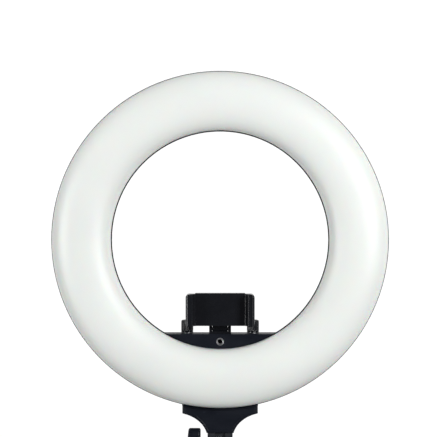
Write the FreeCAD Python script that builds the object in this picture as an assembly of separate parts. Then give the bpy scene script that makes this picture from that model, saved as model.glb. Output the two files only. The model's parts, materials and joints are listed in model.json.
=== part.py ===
import FreeCAD, Part
import math
import os

# Ring light head with a spring phone holder, on a tilting stand socket.
# Millimetres. The origin is the middle of the stand socket's mouth, +Z is up and
# the lit face looks along -Y. The ring's own axis runs along Y.

# ---------------------------------------------------------------- ring
RING_OUTER_R = 180.0      # outside of the rear housing
RING_INNER_R = 115.3      # hole in the middle
RIM_Y = -15.0             # front rim plane of the housing
HOUSING_DEPTH = 22.0      # rim plane to flat back
WALL = 2.4                # housing wall
BACK_ROUND_R = 12.0       # outer back edge
BACK_TAPER = 8.0          # 45 degree run of the inner back edge
BORE_DRAFT = 1.2          # the bore widens by this towards the back
RIM_LIP_OUT = 0.8         # rim seen outside the diffuser
RIM_LIP_IN = 1.1          # rim seen inside the diffuser
LEDGE = 1.5               # step that the diffuser sits in
FIT = 0.1                 # clearance between seated mouldings

DIFFUSER_RISE = 20.0      # crown ahead of the rim plane
DIFFUSER_SKIRT = 1.5      # straight edge ahead of the rim plane
DIFFUSER_CORNER_R = 11.0  # shoulder of the arch
DIFFUSER_WALL = 2.0

# ---------------------------------------------------------------- screws
SCREW_R = 1.4             # 2.8 mm self-tapping screws
SCREW_HEAD_R = 2.7
SCREW_HEAD_T = 1.8
SMALL_SCREW_R = 1.1
SMALL_HEAD_R = 2.1
SMALL_HEAD_T = 1.4
BOLT_R = 2.0              # M4 flange screws
BOLT_HEAD_R = 3.8
HOLE_PLAY = 0.05          # radial play of a screw in its hole
POST_WALL = 1.7           # plastic around a screw

# ---------------------------------------------------------------- lamps
BOARD_T = 1.6
BOARD_GAP = 7.2           # board edge to the housing's inner radius
BOARD_EDGE_GAP = 14.5     # board edge to the housing's outer radius
BOARD_SET_BACK = 6.4      # board face behind the rim plane
QUARTERS = 4
POSTS = 8
LED_ROWS = (0.27, 0.80)   # share of the board's width
LEDS_PER_ROW = 48
LED_LONG = 3.5
LED_WIDE = 2.8
LED_T = 0.7
EDGE_SCREW_IN = 10.5      # ring of rear screws, in from the outer radius

# ---------------------------------------------------------------- control box
BOX_RISE = 14.6           # top of the box above the ring's inner wall
BOX_DEPTH = 26.0          # front panel to back
BOX_END_LAP = 4.0         # how far the ends run into the ring's wall
BOX_PAD_R_EXTRA = 12.7    # raised back pad, out from the ring's inner radius
PANEL_T = 2.4
PANEL_SCREW_X = 21.0
PANEL_SCREW_DROP = 7.5    # below the box top
INSERT_DROP = 8.0         # tripod thread below the box top
INSERT_R = 4.0
INSERT_LENGTH = 10.0
INSERT_END_WALL = 0.5
THREAD_R = 2.55           # 1/4-20 minor radius
THREAD_MOUTH_R = 3.75
KNOB_X = 35.4
KNOB_Y = 2.0
KNOB_R = 6.5
KNOB_HEIGHT = 13.6
KNOB_GAP = 0.5            # knob above the box top
KNOB_FLUTES = 20
SHAFT_R = 3.0
RUNNING = 0.05            # radial clearance of turning and sliding fits
BUSH_WALL = 0.6           # thread bush round the shaft
BUSH_R = SHAFT_R + BUSH_WALL
POT_SIZE = 9.5
POT_HEIGHT = 6.0
SWITCH_X = 9.5            # rocker on one side, inlet on the other
SWITCH_DROP = 13.0        # their centres below the box top
SWITCH_BEZEL = (15.0, 10.4)
SWITCH_BODY = (13.0, 8.4)
ROCKER = (10.6, 6.4)
ROCKER_REST_DEG = 8.0
ROCKER_SWING_ROOM = 0.65  # each side of the rocker in its well
INLET_R = 4.5
INLET_BORE_R = 2.85
INLET_PIN_R = 1.05

# ---------------------------------------------------------------- neck and tilt joint
NECK_LENGTH = 49.0        # ring's lower edge to the tilt axis
NECK_TOP_HALF = 40.4
NECK_FLARE_R = 30.0       # hollow curve from the wing to the waist
NECK_FLARE_X = 43.0
NECK_FLARE_DROP = 36.0    # centre of that curve below the ring's lowest point
NECK_END_DROP = 27.0      # end of the covers below the ring's lowest point
NECK_FRONT_Y = -11.0
NECK_BACK_Y = 13.5
NECK_WALL = 2.2
NECK_EDGE = 1.2           # chamfer along the outline
FLANGE_T = 4.0
FLANGE_HALF = 36.0
FLANGE_RISE = 29.0        # flange top above the ring's lowest point
FLANGE_BOLT_X = 24.0
FLANGE_BOLT_RISES = (14.0, 23.0)
COLUMN_HALF = 11.0
COLUMN_GAP = 0.2          # the covers clear the column by this
EAR_IN = 5.6              # inner face of a clevis ear
EAR_OUT = 13.4
EAR_R = 11.0
TILT_Z = 62.0             # tilt axis above the socket mouth
STUD_R = 4.0
WASHER_T = 1.6
NUT_FLATS = 13.0
NUT_T = 6.5
NUT_SINK = 4.5
HANDLE_IN = 20.9          # bar's inner face, from the middle plane
HANDLE_TIP = 33.8         # bar's outer face at its tips
HANDLE_CROWN = 1.8        # outer face's bulge at the middle
HANDLE_HALF = 26.0
HANDLE_WIDE = 15.0
HANDLE_HUB_R = 9.0

# ---------------------------------------------------------------- stand socket
SOCKET_R = 14.0
SOCKET_BORE_R = 8.05      # takes a 16 mm stand stud
SOCKET_DEPTH = 38.0
SOCKET_HEIGHT = 46.0
TONGUE_HALF = 5.1
FIBRE_T = 0.45
LOCK_Z = 20.0
LOCK_BOSS_R = 8.0
LOCK_BOSS_END = 19.0
LOCK_SCREW_R = 3.0
LOCK_TRAVEL = 2.0
LOCK_KNOB_R = 12.5
LOCK_KNOB_T = 13.0
LOCK_LOBES = 8

# ---------------------------------------------------------------- phone holder
FORK_HALF = 11.7
FORK_IN = 8.4
FORK_Y = -7.0
FORK_R = 5.5
FORK_BASE_T = 1.9
FORK_LIP_T = 0.5          # low wall ahead of the hinge barrel
FORK_LIP_RISE = 3.0
HINGE_RISE = 5.1          # hinge axis above the box top
HINGE_PIN_R = 2.0
BARREL_R = 4.7
ARM_GAP = 0.3             # between the arm and each fork ear
CLAMP_RISE = 27.0         # clamp centre above the box top
CLAMP_HALF_HEIGHT = 17.3
BODY_HALF = 26.8
CLAMP_BACK_Y = -18.2
BODY_DEPTH = 10.0
BODY_WALL = 1.8
COVER_T = 1.6
SWIVEL_R = 9.0
SWIVEL_SCREW_R = 3.0
SWIVEL_HEAD_R = 5.0
JAW_OVERHANG = 9.5        # jaw's outer face beyond the body's end
JAW_LIP_SET_OUT = 1.9     # lips' inner edge beyond the body's end
JAW_WALL = 4.0
JAW_FLANGE_LAP = 0.95     # the flange over the body's front face
JAW_SHORTER = 0.75        # jaw's ends inside the body's top and bottom
JAW_REACH = 13.8          # lips ahead of the body's front face
JAW_LIP_T = 3.0
JAW_FLANGE_T = 2.25
JAW_PLAY = 0.15
JAW_ROUND = 3.5
PAD_T = 1.5
ROD_R = 1.6
ROD_SPREAD = 8.0
CLAMP_END_WALL = 3.2      # wall that the fixed jaw is screwed to
CLAMP_SCREW_IN = 3.5      # cover screws in from the clamp body's edges
SPRING_R = 2.5
SPRING_WIRE_R = 0.3
SPRING_TURNS = 14

# ---------------------------------------------------------------- places worked out from the sizes
RING_Z = TILT_Z + NECK_LENGTH + RING_OUTER_R
BACK_Y = RIM_Y + HOUSING_DEPTH
BOTTOM_Z = RING_Z - RING_OUTER_R
BOX_TOP_R = RING_INNER_R - BOX_RISE
BOX_TOP_Z = RING_Z - BOX_TOP_R
BOX_BACK_Y = RIM_Y + BOX_DEPTH
BOX_HALF = math.sqrt(RING_INNER_R**2 - BOX_TOP_R**2) + BOX_END_LAP
PANEL_BACK_Y = RIM_Y + PANEL_T
BOARD_IN_R = RING_INNER_R + BOARD_GAP
BOARD_OUT_R = RING_OUTER_R - BOARD_EDGE_GAP
BOARD_MID_R = (BOARD_IN_R + BOARD_OUT_R) / 2
BOARD_Y = RIM_Y + BOARD_SET_BACK
BOARD_BACK_Y = BOARD_Y + BOARD_T
EDGE_SCREW_R = RING_OUTER_R - EDGE_SCREW_IN
HINGE_Z = BOX_TOP_Z + HINGE_RISE
CLAMP_Z = BOX_TOP_Z + CLAMP_RISE
BODY_FRONT_Y = CLAMP_BACK_Y - BODY_DEPTH
JAW_OUT = BODY_HALF + JAW_OVERHANG
JAW_LIP_IN = BODY_HALF + JAW_LIP_SET_OUT
JAW_FLANGE_IN = BODY_HALF - JAW_FLANGE_LAP
JAW_HALF_HEIGHT = CLAMP_HALF_HEIGHT - JAW_SHORTER
ARM_FRONT_Y = FORK_Y - BARREL_R


# ---------------------------------------------------------------- simple solids
def box(x0, x1, y0, y1, z0, z1):
    return Part.makeBox(x1 - x0, y1 - y0, z1 - z0, FreeCAD.Vector(x0, y0, z0))


def rod_x(radius, x0, x1, y, z):
    return Part.makeCylinder(radius, x1 - x0, FreeCAD.Vector(x0, y, z), FreeCAD.Vector(1, 0, 0))


def rod_y(radius, y0, y1, x, z):
    return Part.makeCylinder(radius, y1 - y0, FreeCAD.Vector(x, y0, z), FreeCAD.Vector(0, 1, 0))


def rod_z(radius, z0, z1, x, y):
    return Part.makeCylinder(radius, z1 - z0, FreeCAD.Vector(x, y, z0), FreeCAD.Vector(0, 0, 1))


def cone_y(r0, r1, y0, y1, x, z):
    """A cone along +Y, of radius r0 at y0 and r1 at y1."""
    return Part.makeCone(r0, r1, y1 - y0, FreeCAD.Vector(x, y0, z), FreeCAD.Vector(0, 1, 0))


def fuse(solids):
    return solids[0].multiFuse(solids[1:]).removeSplitter()


def cut(solid, tools):
    return solid.cut(tools[0].multiFuse(tools[1:]) if len(tools) > 1 else tools[0])


def in_plane(points, plane, level):
    """2D points put on the plane 'xz', 'xy' or 'yz' at the given level."""
    place = {
        "xz": lambda a, b: FreeCAD.Vector(a, level, b),
        "xy": lambda a, b: FreeCAD.Vector(a, b, level),
        "yz": lambda a, b: FreeCAD.Vector(level, a, b),
    }[plane]
    return [place(a, b) for a, b in points]


def edge_loop(steps, plane, level):
    """A closed wire from steps: (a, b) is a corner and (a, b, c, d) is an arc through (a, b) to (c, d)."""
    start = in_plane([steps[0][-2:]], plane, level)[0]
    here = start
    edges = []
    for step in steps[1:] + [steps[0][-2:]]:
        if len(step) == 4:
            through, end = in_plane([step[:2], step[2:]], plane, level)
            edges.append(Part.Arc(here, through, end).toShape())
        else:
            end = in_plane([step], plane, level)[0]
            if end.distanceToPoint(here) < 1e-7:
                continue
            edges.append(Part.LineSegment(here, end).toShape())
        here = end
    return Part.Wire(edges)


def prism(steps, plane, low, high):
    """The outline's solid between two levels along the plane's normal."""
    normal = {"xz": (0, 1, 0), "xy": (0, 0, 1), "yz": (1, 0, 0)}[plane]
    face = Part.Face(edge_loop(steps, plane, low))
    return face.extrude(FreeCAD.Vector(*normal) * (high - low))


def ring_solid(steps, degrees=360.0, start=0.0):
    """An (r, y) outline turned about the ring's axis, from the start angle."""
    face = Part.Face(edge_loop(steps, "xy", 0.0))
    turned = face.revolve(FreeCAD.Vector(0, 0, 0), FreeCAD.Vector(0, -1, 0), degrees)
    turned.rotate(FreeCAD.Vector(0, 0, 0), FreeCAD.Vector(0, -1, 0), start)
    turned.translate(FreeCAD.Vector(0, 0, RING_Z))
    return turned


def on_ring(radius, degrees):
    """x and z of a point on the ring, from +X towards +Z."""
    angle = math.radians(degrees)
    return radius * math.cos(angle), RING_Z + radius * math.sin(angle)


def around(count, first):
    return [first + 360.0 * i / count for i in range(count)]


def pick_edges(solid, test):
    return [e for e in solid.Edges if test(e.BoundBox)]


def rounded_rect(a0, a1, b0, b1, r):
    """Steps of a rectangle with corners of radius r."""
    k = r * (1 - math.sqrt(0.5))
    return [
        (a0 + r, b0),
        (a1 - r, b0),
        (a1 - k, b0 + k, a1, b0 + r),
        (a1, b1 - r),
        (a1 - k, b1 - k, a1 - r, b1),
        (a0 + r, b1),
        (a0 + k, b1 - k, a0, b1 - r),
        (a0, b0 + r),
        (a0 + k, b0 + k, a0 + r, b0),
    ]


def hexagon(flats, a, b):
    corner = flats / math.sqrt(3)
    return [
        (a + corner * math.cos(math.radians(60 * i)), b + corner * math.sin(math.radians(60 * i)))
        for i in range(6)
    ]


def screw_y(radius, head_r, head_t, tip_y, seat_y, x, z):
    """A pan-head screw whose head sits behind seat_y and whose tip points forward."""
    head = rod_y(head_r, seat_y, seat_y + head_t, x, z)
    slot = box(x - head_r, x + head_r, seat_y + head_t * 0.55, seat_y + head_t, z - 0.4, z + 0.4)
    cross = box(x - 0.4, x + 0.4, seat_y + head_t * 0.55, seat_y + head_t, z - head_r, z + head_r)
    reach = head_r * 0.62
    drive = fuse([slot, cross]).common(rod_y(reach, seat_y, seat_y + head_t + 1, x, z))
    return cut(fuse([head, rod_y(radius, tip_y, seat_y, x, z)]), [drive])


def save(name, shape):
    shape.exportStep(os.path.join("parts", name + ".step"))


# ---------------------------------------------------------------- ring housing
def channel(wall):
    """The ring's hollow section in (r, y), moved in from the outside by wall."""
    bend = wall * (math.sqrt(2) - 1)
    inner = RING_INNER_R + wall
    outer = RING_OUTER_R - wall
    back = BACK_Y - wall
    round_r = BACK_ROUND_R - wall
    round_at = RING_OUTER_R - BACK_ROUND_R
    round_y = BACK_Y - BACK_ROUND_R
    half = round_r * math.sqrt(0.5)
    front = RIM_Y - (1.0 if wall else 0.0)
    return [
        (inner, front),
        (outer, front),
        (outer, round_y),
        (round_at + half, round_y + half, round_at, back),
        (RING_INNER_R + BORE_DRAFT + BACK_TAPER + bend, back),
        (inner + BORE_DRAFT, BACK_Y - BACK_TAPER - bend),
    ]


def crescent(top_z, half, radius, y0, y1):
    """The box's section: flat on top, straight ends, and round like the ring below."""
    end_z = RING_Z - math.sqrt(radius**2 - half**2)
    steps = [(-half, top_z), (half, top_z), (half, end_z), (0, RING_Z - radius, -half, end_z)]
    return prism(steps, "xz", y0, y1)


def segment(top_z, radius, y0, y1):
    """A circle's segment under a flat top."""
    half = math.sqrt(radius**2 - (RING_Z - top_z) ** 2)
    return prism([(-half, top_z), (half, top_z), (0, RING_Z - radius, -half, top_z)], "xz", y0, y1)


def board_posts():
    return [on_ring(BOARD_MID_R, a) for a in around(POSTS, 180.0 / POSTS)]


def edge_posts():
    return [on_ring(EDGE_SCREW_R, a) for a in around(POSTS, 180.0 / POSTS)]


def panel_posts():
    return [(s * PANEL_SCREW_X, BOX_TOP_Z - PANEL_SCREW_DROP) for s in (-1, 1)]


def flange_bolts():
    return [(s * FLANGE_BOLT_X, BOTTOM_Z + rise) for s in (-1, 1) for rise in FLANGE_BOLT_RISES]


EDGE_POST_END_Y = BACK_Y - 11.0       # where housing and diffuser posts meet
EDGE_SEAT_Y = BACK_Y - 2.1            # rear screw head's seat
FLANGE_POST_END_Y = BACK_Y - 10.0
PANEL_POST_END_Y = PANEL_BACK_Y + 4.0
PANEL_SEAT_Y = BOX_BACK_Y - 2.2
DRIVER_Z = RING_Z - RING_INNER_R - 24.2
DRIVER_HALF_X = 33.0
DRIVER_HALF_Z = 10.5
DRIVER_POST_Y = BACK_Y - WALL - 4.0   # driver board's back face
FORK_PAD_T = 2.5


def driver_posts():
    x, z = DRIVER_HALF_X - 4, DRIVER_HALF_Z - 3
    return [(sx * x, DRIVER_Z + sz * z) for sx in (-1, 1) for sz in (-1, 1)]


def fork_screws():
    return [s * (FORK_HALF + FORK_IN) / 2 for s in (-1, 1)]


def make_rear_housing():
    pad_r = RING_INNER_R + BOX_PAD_R_EXTRA
    outside = ring_solid(channel(0.0)).fuse(crescent(BOX_TOP_Z, BOX_HALF, pad_r, PANEL_BACK_Y, BOX_BACK_Y))
    hollow = ring_solid(channel(WALL))
    seat = ring_solid(
        [
            (RING_INNER_R + RIM_LIP_IN, RIM_Y - 1),
            (RING_OUTER_R - RIM_LIP_OUT, RIM_Y - 1),
            (RING_OUTER_R - RIM_LIP_OUT, RIM_Y + LEDGE),
            (RING_INNER_R + RIM_LIP_IN, RIM_Y + LEDGE),
        ]
    )
    front_room = segment(BOX_TOP_Z - WALL, RING_INNER_R - 0.5, PANEL_BACK_Y - 1, PANEL_BACK_Y + 1.6)
    room = crescent(BOX_TOP_Z - WALL, BOX_HALF - WALL, pad_r - WALL, PANEL_BACK_Y + 1.6, BOX_BACK_Y - WALL)
    shell = cut(outside, [hollow, seat, front_room, room])

    solids = [shell]
    holes = []
    inside_y = BACK_Y - WALL + 0.5
    for x, z in board_posts():
        solids.append(rod_y(SMALL_SCREW_R + POST_WALL, BOARD_BACK_Y, inside_y, x, z))
        holes.append(rod_y(SMALL_SCREW_R + HOLE_PLAY, BOARD_BACK_Y - 1, BOARD_BACK_Y + 7, x, z))
    for x, z in edge_posts():
        solids.append(rod_y(SCREW_R + POST_WALL, EDGE_POST_END_Y, EDGE_SEAT_Y, x, z))
        holes.append(rod_y(SCREW_R + HOLE_PLAY, EDGE_POST_END_Y - 1, BACK_Y + 1, x, z))
        holes.append(rod_y(SCREW_HEAD_R + FIT, EDGE_SEAT_Y, BACK_Y + 1, x, z))
    for x, z in flange_bolts():
        solids.append(rod_y(BOLT_R + POST_WALL, FLANGE_POST_END_Y, inside_y, x, z))
        holes.append(rod_y(BOLT_R + HOLE_PLAY, FLANGE_POST_END_Y - 1, BACK_Y + 1, x, z))
    for x, z in driver_posts():
        solids.append(rod_y(SMALL_SCREW_R + POST_WALL, DRIVER_POST_Y, inside_y, x, z))
        holes.append(rod_y(SMALL_SCREW_R + HOLE_PLAY, DRIVER_POST_Y - 1, DRIVER_POST_Y + 3.5, x, z))
    for x, z in panel_posts():
        solids.append(rod_y(SCREW_R + POST_WALL, PANEL_POST_END_Y, BOX_BACK_Y - WALL + 0.5, x, z))
        holes.append(rod_y(SCREW_R + HOLE_PLAY, PANEL_POST_END_Y - 1, BOX_BACK_Y + 1, x, z))
        holes.append(rod_y(SCREW_HEAD_R + FIT, PANEL_SEAT_Y, BOX_BACK_Y + 1, x, z))

    for x in fork_screws():
        pad_z = BOX_TOP_Z - FORK_BASE_T - FORK_PAD_T
        solids.append(box(x - 3.0, x + 3.0, FORK_Y - FORK_R, FORK_Y + FORK_R, pad_z, BOX_TOP_Z))
        holes.append(rod_z(SMALL_SCREW_R + HOLE_PLAY, BOX_TOP_Z - 9, BOX_TOP_Z, x, FORK_Y))
    base = FORK_HALF + HOLE_PLAY
    fork_end = FORK_Y + FORK_R + HOLE_PLAY
    holes.append(box(-base, base, PANEL_BACK_Y - 1, fork_end, BOX_TOP_Z - FORK_BASE_T, BOX_TOP_Z + 1))

    for s in (-1, 1):
        holes.append(rod_z(BUSH_R + HOLE_PLAY, BOX_TOP_Z - WALL - 1, BOX_TOP_Z + 1, s * KNOB_X, KNOB_Y))
    wide, tall = SWITCH_BODY
    z = BOX_TOP_Z - SWITCH_DROP
    holes.append(
        box(
            SWITCH_X - wide / 2 - HOLE_PLAY,
            SWITCH_X + wide / 2 + HOLE_PLAY,
            BOX_BACK_Y - WALL - 1,
            BOX_BACK_Y + 1,
            z - tall / 2 - HOLE_PLAY,
            z + tall / 2 + HOLE_PLAY,
        )
    )
    holes.append(rod_y(INLET_R + HOLE_PLAY, BOX_BACK_Y - WALL - 1, BOX_BACK_Y + 1, -SWITCH_X, z))
    return cut(fuse(solids), holes)


def arch(wall):
    """The diffuser's bowed section in (r, y), moved in from the outside by wall."""
    inner = RING_INNER_R + RIM_LIP_IN + FIT
    outer = RING_OUTER_R - RIM_LIP_OUT - FIT
    mid = (inner + outer) / 2
    half = (outer - inner) / 2
    rise = DIFFUSER_RISE - DIFFUSER_SKIRT
    corner = DIFFUSER_CORNER_R
    crown_r = ((half - corner) ** 2 + rise**2 - corner**2) / (2 * (rise - corner))
    lean = math.asin((half - corner) / (crown_r - corner))
    spring_y = RIM_Y - DIFFUSER_SKIRT
    foot_y = RIM_Y + LEDGE + (1.0 if wall else 0.0)
    r = corner - wall
    out_x = half - corner + r * math.sin(lean)
    out_y = spring_y - r * math.cos(lean)
    turn = (math.pi / 2 + lean) / 2
    mid_x = half - corner + r * math.sin(turn)
    mid_y = spring_y - r * math.cos(turn)
    crown_y = RIM_Y - DIFFUSER_RISE + wall
    return [
        (mid - half + wall, foot_y),
        (mid + half - wall, foot_y),
        (mid + half - wall, spring_y),
        (mid + mid_x, mid_y, mid + out_x, out_y),
        (mid, crown_y, mid - out_x, out_y),
        (mid - mid_x, mid_y, mid - half + wall, spring_y),
    ]


def make_diffuser():
    outside = ring_solid(arch(0.0))
    inside = ring_solid(arch(DIFFUSER_WALL))
    post_r = SCREW_R + POST_WALL
    top = RIM_Y - DIFFUSER_RISE + 1.0
    posts = [rod_y(post_r, top, EDGE_POST_END_Y - FIT, x, z) for x, z in edge_posts()]
    foot = RIM_Y + LEDGE
    below = [rod_y(post_r, foot, EDGE_POST_END_Y - FIT, x, z) for x, z in edge_posts()]
    shell = outside.cut(inside)
    kept = [p.common(outside) for p in posts]
    holes = [rod_y(SCREW_R + HOLE_PLAY, foot - 4, EDGE_POST_END_Y + 1, x, z) for x, z in edge_posts()]
    return cut(fuse([shell] + kept + below), holes)


def make_front_panel():
    plate = segment(BOX_TOP_Z, RING_INNER_R - FIT, RIM_Y, PANEL_BACK_Y)
    insert_z = BOX_TOP_Z - INSERT_DROP
    insert_end = RIM_Y + INSERT_LENGTH
    solids = [plate, rod_y(INSERT_R + 1.5, RIM_Y, insert_end + INSERT_END_WALL, 0, insert_z)]
    holes = [rod_y(INSERT_R, RIM_Y - 1, insert_end, 0, insert_z)]
    for x, z in panel_posts():
        solids.append(rod_y(SCREW_R + POST_WALL, RIM_Y, PANEL_POST_END_Y - FIT, x, z))
        holes.append(rod_y(SCREW_R + HOLE_PLAY, RIM_Y + 1.4, PANEL_POST_END_Y, x, z))
    return cut(fuse(solids), holes)


def make_thread_insert():
    z = BOX_TOP_Z - INSERT_DROP
    end = RIM_Y + INSERT_LENGTH
    mouth = THREAD_MOUTH_R - THREAD_R
    bore = rod_y(THREAD_R, RIM_Y - 1, end + 1, 0, z)
    flare = cone_y(THREAD_MOUTH_R, THREAD_R, RIM_Y, RIM_Y + mouth, 0, z)
    return cut(rod_y(INSERT_R, RIM_Y, end, 0, z), [bore, flare])


def make_led_board(quarter):
    trim = math.degrees(0.4 / BOARD_MID_R)
    span = 360.0 / QUARTERS
    steps = [
        (BOARD_IN_R, BOARD_Y),
        (BOARD_OUT_R, BOARD_Y),
        (BOARD_OUT_R, BOARD_BACK_Y),
        (BOARD_IN_R, BOARD_BACK_Y),
    ]
    board = ring_solid(steps, span - 2 * trim, quarter * span + trim)
    holes = [rod_y(SMALL_SCREW_R + HOLE_PLAY, BOARD_Y - 1, BOARD_BACK_Y + 1, x, z) for x, z in board_posts()]
    return cut(board, holes)


def make_leds(first):
    """Every second lamp of both rows, starting with the given one."""
    lamps = []
    for row, share in enumerate(LED_ROWS):
        radius = BOARD_IN_R + share * (BOARD_OUT_R - BOARD_IN_R)
        step = 360.0 / LEDS_PER_ROW
        for i in range((first + row) % 2, LEDS_PER_ROW, 2):
            lamp = box(-LED_WIDE / 2, LED_WIDE / 2, BOARD_Y - LED_T, BOARD_Y, -LED_LONG / 2, LED_LONG / 2)
            lamp.translate(FreeCAD.Vector(radius, 0, 0))
            lamp.rotate(FreeCAD.Vector(0, 0, 0), FreeCAD.Vector(0, -1, 0), (i + 0.5) * step)
            lamp.translate(FreeCAD.Vector(0, 0, RING_Z))
            lamps.append(lamp)
    return Part.makeCompound(lamps)


def screw_group(places, radius, head_r, head_t, tip_y, seat_y):
    return Part.makeCompound([screw_y(radius, head_r, head_t, tip_y, seat_y, x, z) for x, z in places])


def forward_screw(radius, head_r, head_t, seat_y, tip_y, x, z):
    """A screw whose head is in front of seat_y and whose tip points back."""
    turned = screw_y(radius, head_r, head_t, -tip_y, -seat_y, -x, z)
    turned.rotate(FreeCAD.Vector(0, 0, 0), FreeCAD.Vector(0, 0, 1), 180)
    return turned


def make_board_screws():
    return Part.makeCompound(
        [
            forward_screw(SMALL_SCREW_R, SMALL_HEAD_R, SMALL_HEAD_T, BOARD_Y, BOARD_BACK_Y + 6, x, z)
            for x, z in board_posts()
        ]
    )


def make_driver_board():
    low, high = DRIVER_Z - DRIVER_HALF_Z, DRIVER_Z + DRIVER_HALF_Z
    steps = rounded_rect(-DRIVER_HALF_X, DRIVER_HALF_X, low, high, 1.5)
    board = prism(steps, "xz", DRIVER_POST_Y - BOARD_T, DRIVER_POST_Y)
    r = SMALL_SCREW_R + HOLE_PLAY
    return cut(board, [rod_y(r, DRIVER_POST_Y - 3, DRIVER_POST_Y + 1, x, z) for x, z in driver_posts()])


def make_driver_components():
    """Two coils, three capacitors, four power transistors and two plugs on the driver board."""
    face = DRIVER_POST_Y - BOARD_T
    parts = []
    for x in (-20.0, 20.0):
        parts.append(rod_y(4.2, face - 4.4, face, x, DRIVER_Z + 1.0))
    for x in (-10.0, 0.0, 10.0):
        parts.append(rod_y(2.6, face - 4.8, face, x, DRIVER_Z + 5.0))
    for x in (-12.0, -4.0, 4.0, 12.0):
        parts.append(box(x - 2.4, x + 2.4, face - 1.5, face, DRIVER_Z - 4.5, DRIVER_Z + 0.5))
    for x in (-8.0, 8.0):
        parts.append(box(x - 3.8, x + 3.8, face - 4.0, face, DRIVER_Z - 10.0, DRIVER_Z - 6.0))
    return Part.makeCompound(parts)


def make_driver_screws():
    face = DRIVER_POST_Y - BOARD_T
    return Part.makeCompound(
        [
            forward_screw(SMALL_SCREW_R, SMALL_HEAD_R, SMALL_HEAD_T, face, DRIVER_POST_Y + 3, x, z)
            for x, z in driver_posts()
        ]
    )


# ---------------------------------------------------------------- controls
POT_FRONT_Y = KNOB_Y - POT_SIZE / 2
CONTROL_BOARD_TOP = BOX_TOP_Z - WALL - 0.8
CONTROL_BOARD_HALF = KNOB_X + 8.0
CONTROL_BOARD_R = RING_INNER_R + 3.0


def make_control_board():
    """A board behind the front panel that follows the box's round lower edge."""
    end_z = RING_Z - math.sqrt(CONTROL_BOARD_R**2 - CONTROL_BOARD_HALF**2)
    steps = [
        (-CONTROL_BOARD_HALF, CONTROL_BOARD_TOP),
        (CONTROL_BOARD_HALF, CONTROL_BOARD_TOP),
        (CONTROL_BOARD_HALF, end_z),
        (0, RING_Z - CONTROL_BOARD_R, -CONTROL_BOARD_HALF, end_z),
    ]
    board = prism(steps, "xz", POT_FRONT_Y - BOARD_T, POT_FRONT_Y)
    room = SCREW_R + POST_WALL + 0.4
    holes = [rod_y(room, POT_FRONT_Y - 3, POT_FRONT_Y + 1, x, z) for x, z in panel_posts()]
    for x in fork_screws():
        holes.append(box(x - 3.6, x + 3.6, POT_FRONT_Y - 3, POT_FRONT_Y + 1, BOX_TOP_Z - 8, BOX_TOP_Z))
    return cut(board, holes)


def make_potentiometer(x):
    top = BOX_TOP_Z - WALL
    half = POT_SIZE / 2
    body = box(x - half, x + half, KNOB_Y - half, KNOB_Y + half, top - POT_HEIGHT, top)
    bush = rod_z(BUSH_R, top, BOX_TOP_Z + 2.6, x, KNOB_Y)
    bore = rod_z(SHAFT_R + RUNNING, top - POT_HEIGHT + 1.5, BOX_TOP_Z + 4, x, KNOB_Y)
    return cut(fuse([body, bush]), [bore])


def make_potentiometer_nuts():
    nuts = []
    for x in (-KNOB_X, KNOB_X):
        ring = rod_z(BUSH_R + 1.3, BOX_TOP_Z, BOX_TOP_Z + 1.6, x, KNOB_Y)
        nuts.append(ring.cut(rod_z(BUSH_R, BOX_TOP_Z - 1, BOX_TOP_Z + 3, x, KNOB_Y)))
    return Part.makeCompound(nuts)


def make_shaft(x):
    low = BOX_TOP_Z - WALL - POT_HEIGHT + 1.5 + RUNNING
    shaft = rod_z(SHAFT_R, low, BOX_TOP_Z + KNOB_GAP + KNOB_HEIGHT - 3.0, x, KNOB_Y)
    flat = box(x - SHAFT_R, x + SHAFT_R, KNOB_Y + 1.5, KNOB_Y + 2 * SHAFT_R, BOX_TOP_Z + 4.5, BOX_TOP_Z + 20)
    return shaft.cut(flat)


def make_knob(x):
    low = BOX_TOP_Z + KNOB_GAP
    high = low + KNOB_HEIGHT
    knob = rod_z(KNOB_R, low, high, x, KNOB_Y)
    knob = knob.makeFillet(1.6, pick_edges(knob, lambda b: b.ZMin > high - 0.1))
    skirt = rod_z(BUSH_R + 1.9, low - 1, BOX_TOP_Z + 3.2, x, KNOB_Y)
    hole = rod_z(SHAFT_R, low - 1, high - 3.0, x, KNOB_Y)
    key = box(x - SHAFT_R, x + SHAFT_R, KNOB_Y + 1.5, KNOB_Y + 2 * SHAFT_R, BOX_TOP_Z + 4.5, high)
    flutes = []
    for angle in around(KNOB_FLUTES, 180.0 / KNOB_FLUTES):
        fx = x + (KNOB_R + 0.35) * math.cos(math.radians(angle))
        fy = KNOB_Y + (KNOB_R + 0.35) * math.sin(math.radians(angle))
        flutes.append(rod_z(0.6, low + 2.2, high - 1.8, fx, fy))
    pointer = box(x - 0.35, x + 0.35, KNOB_Y - KNOB_R, KNOB_Y - 2.0, high - 0.5, high + 1)
    return cut(knob, [skirt, hole.cut(key), pointer] + flutes)


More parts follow.
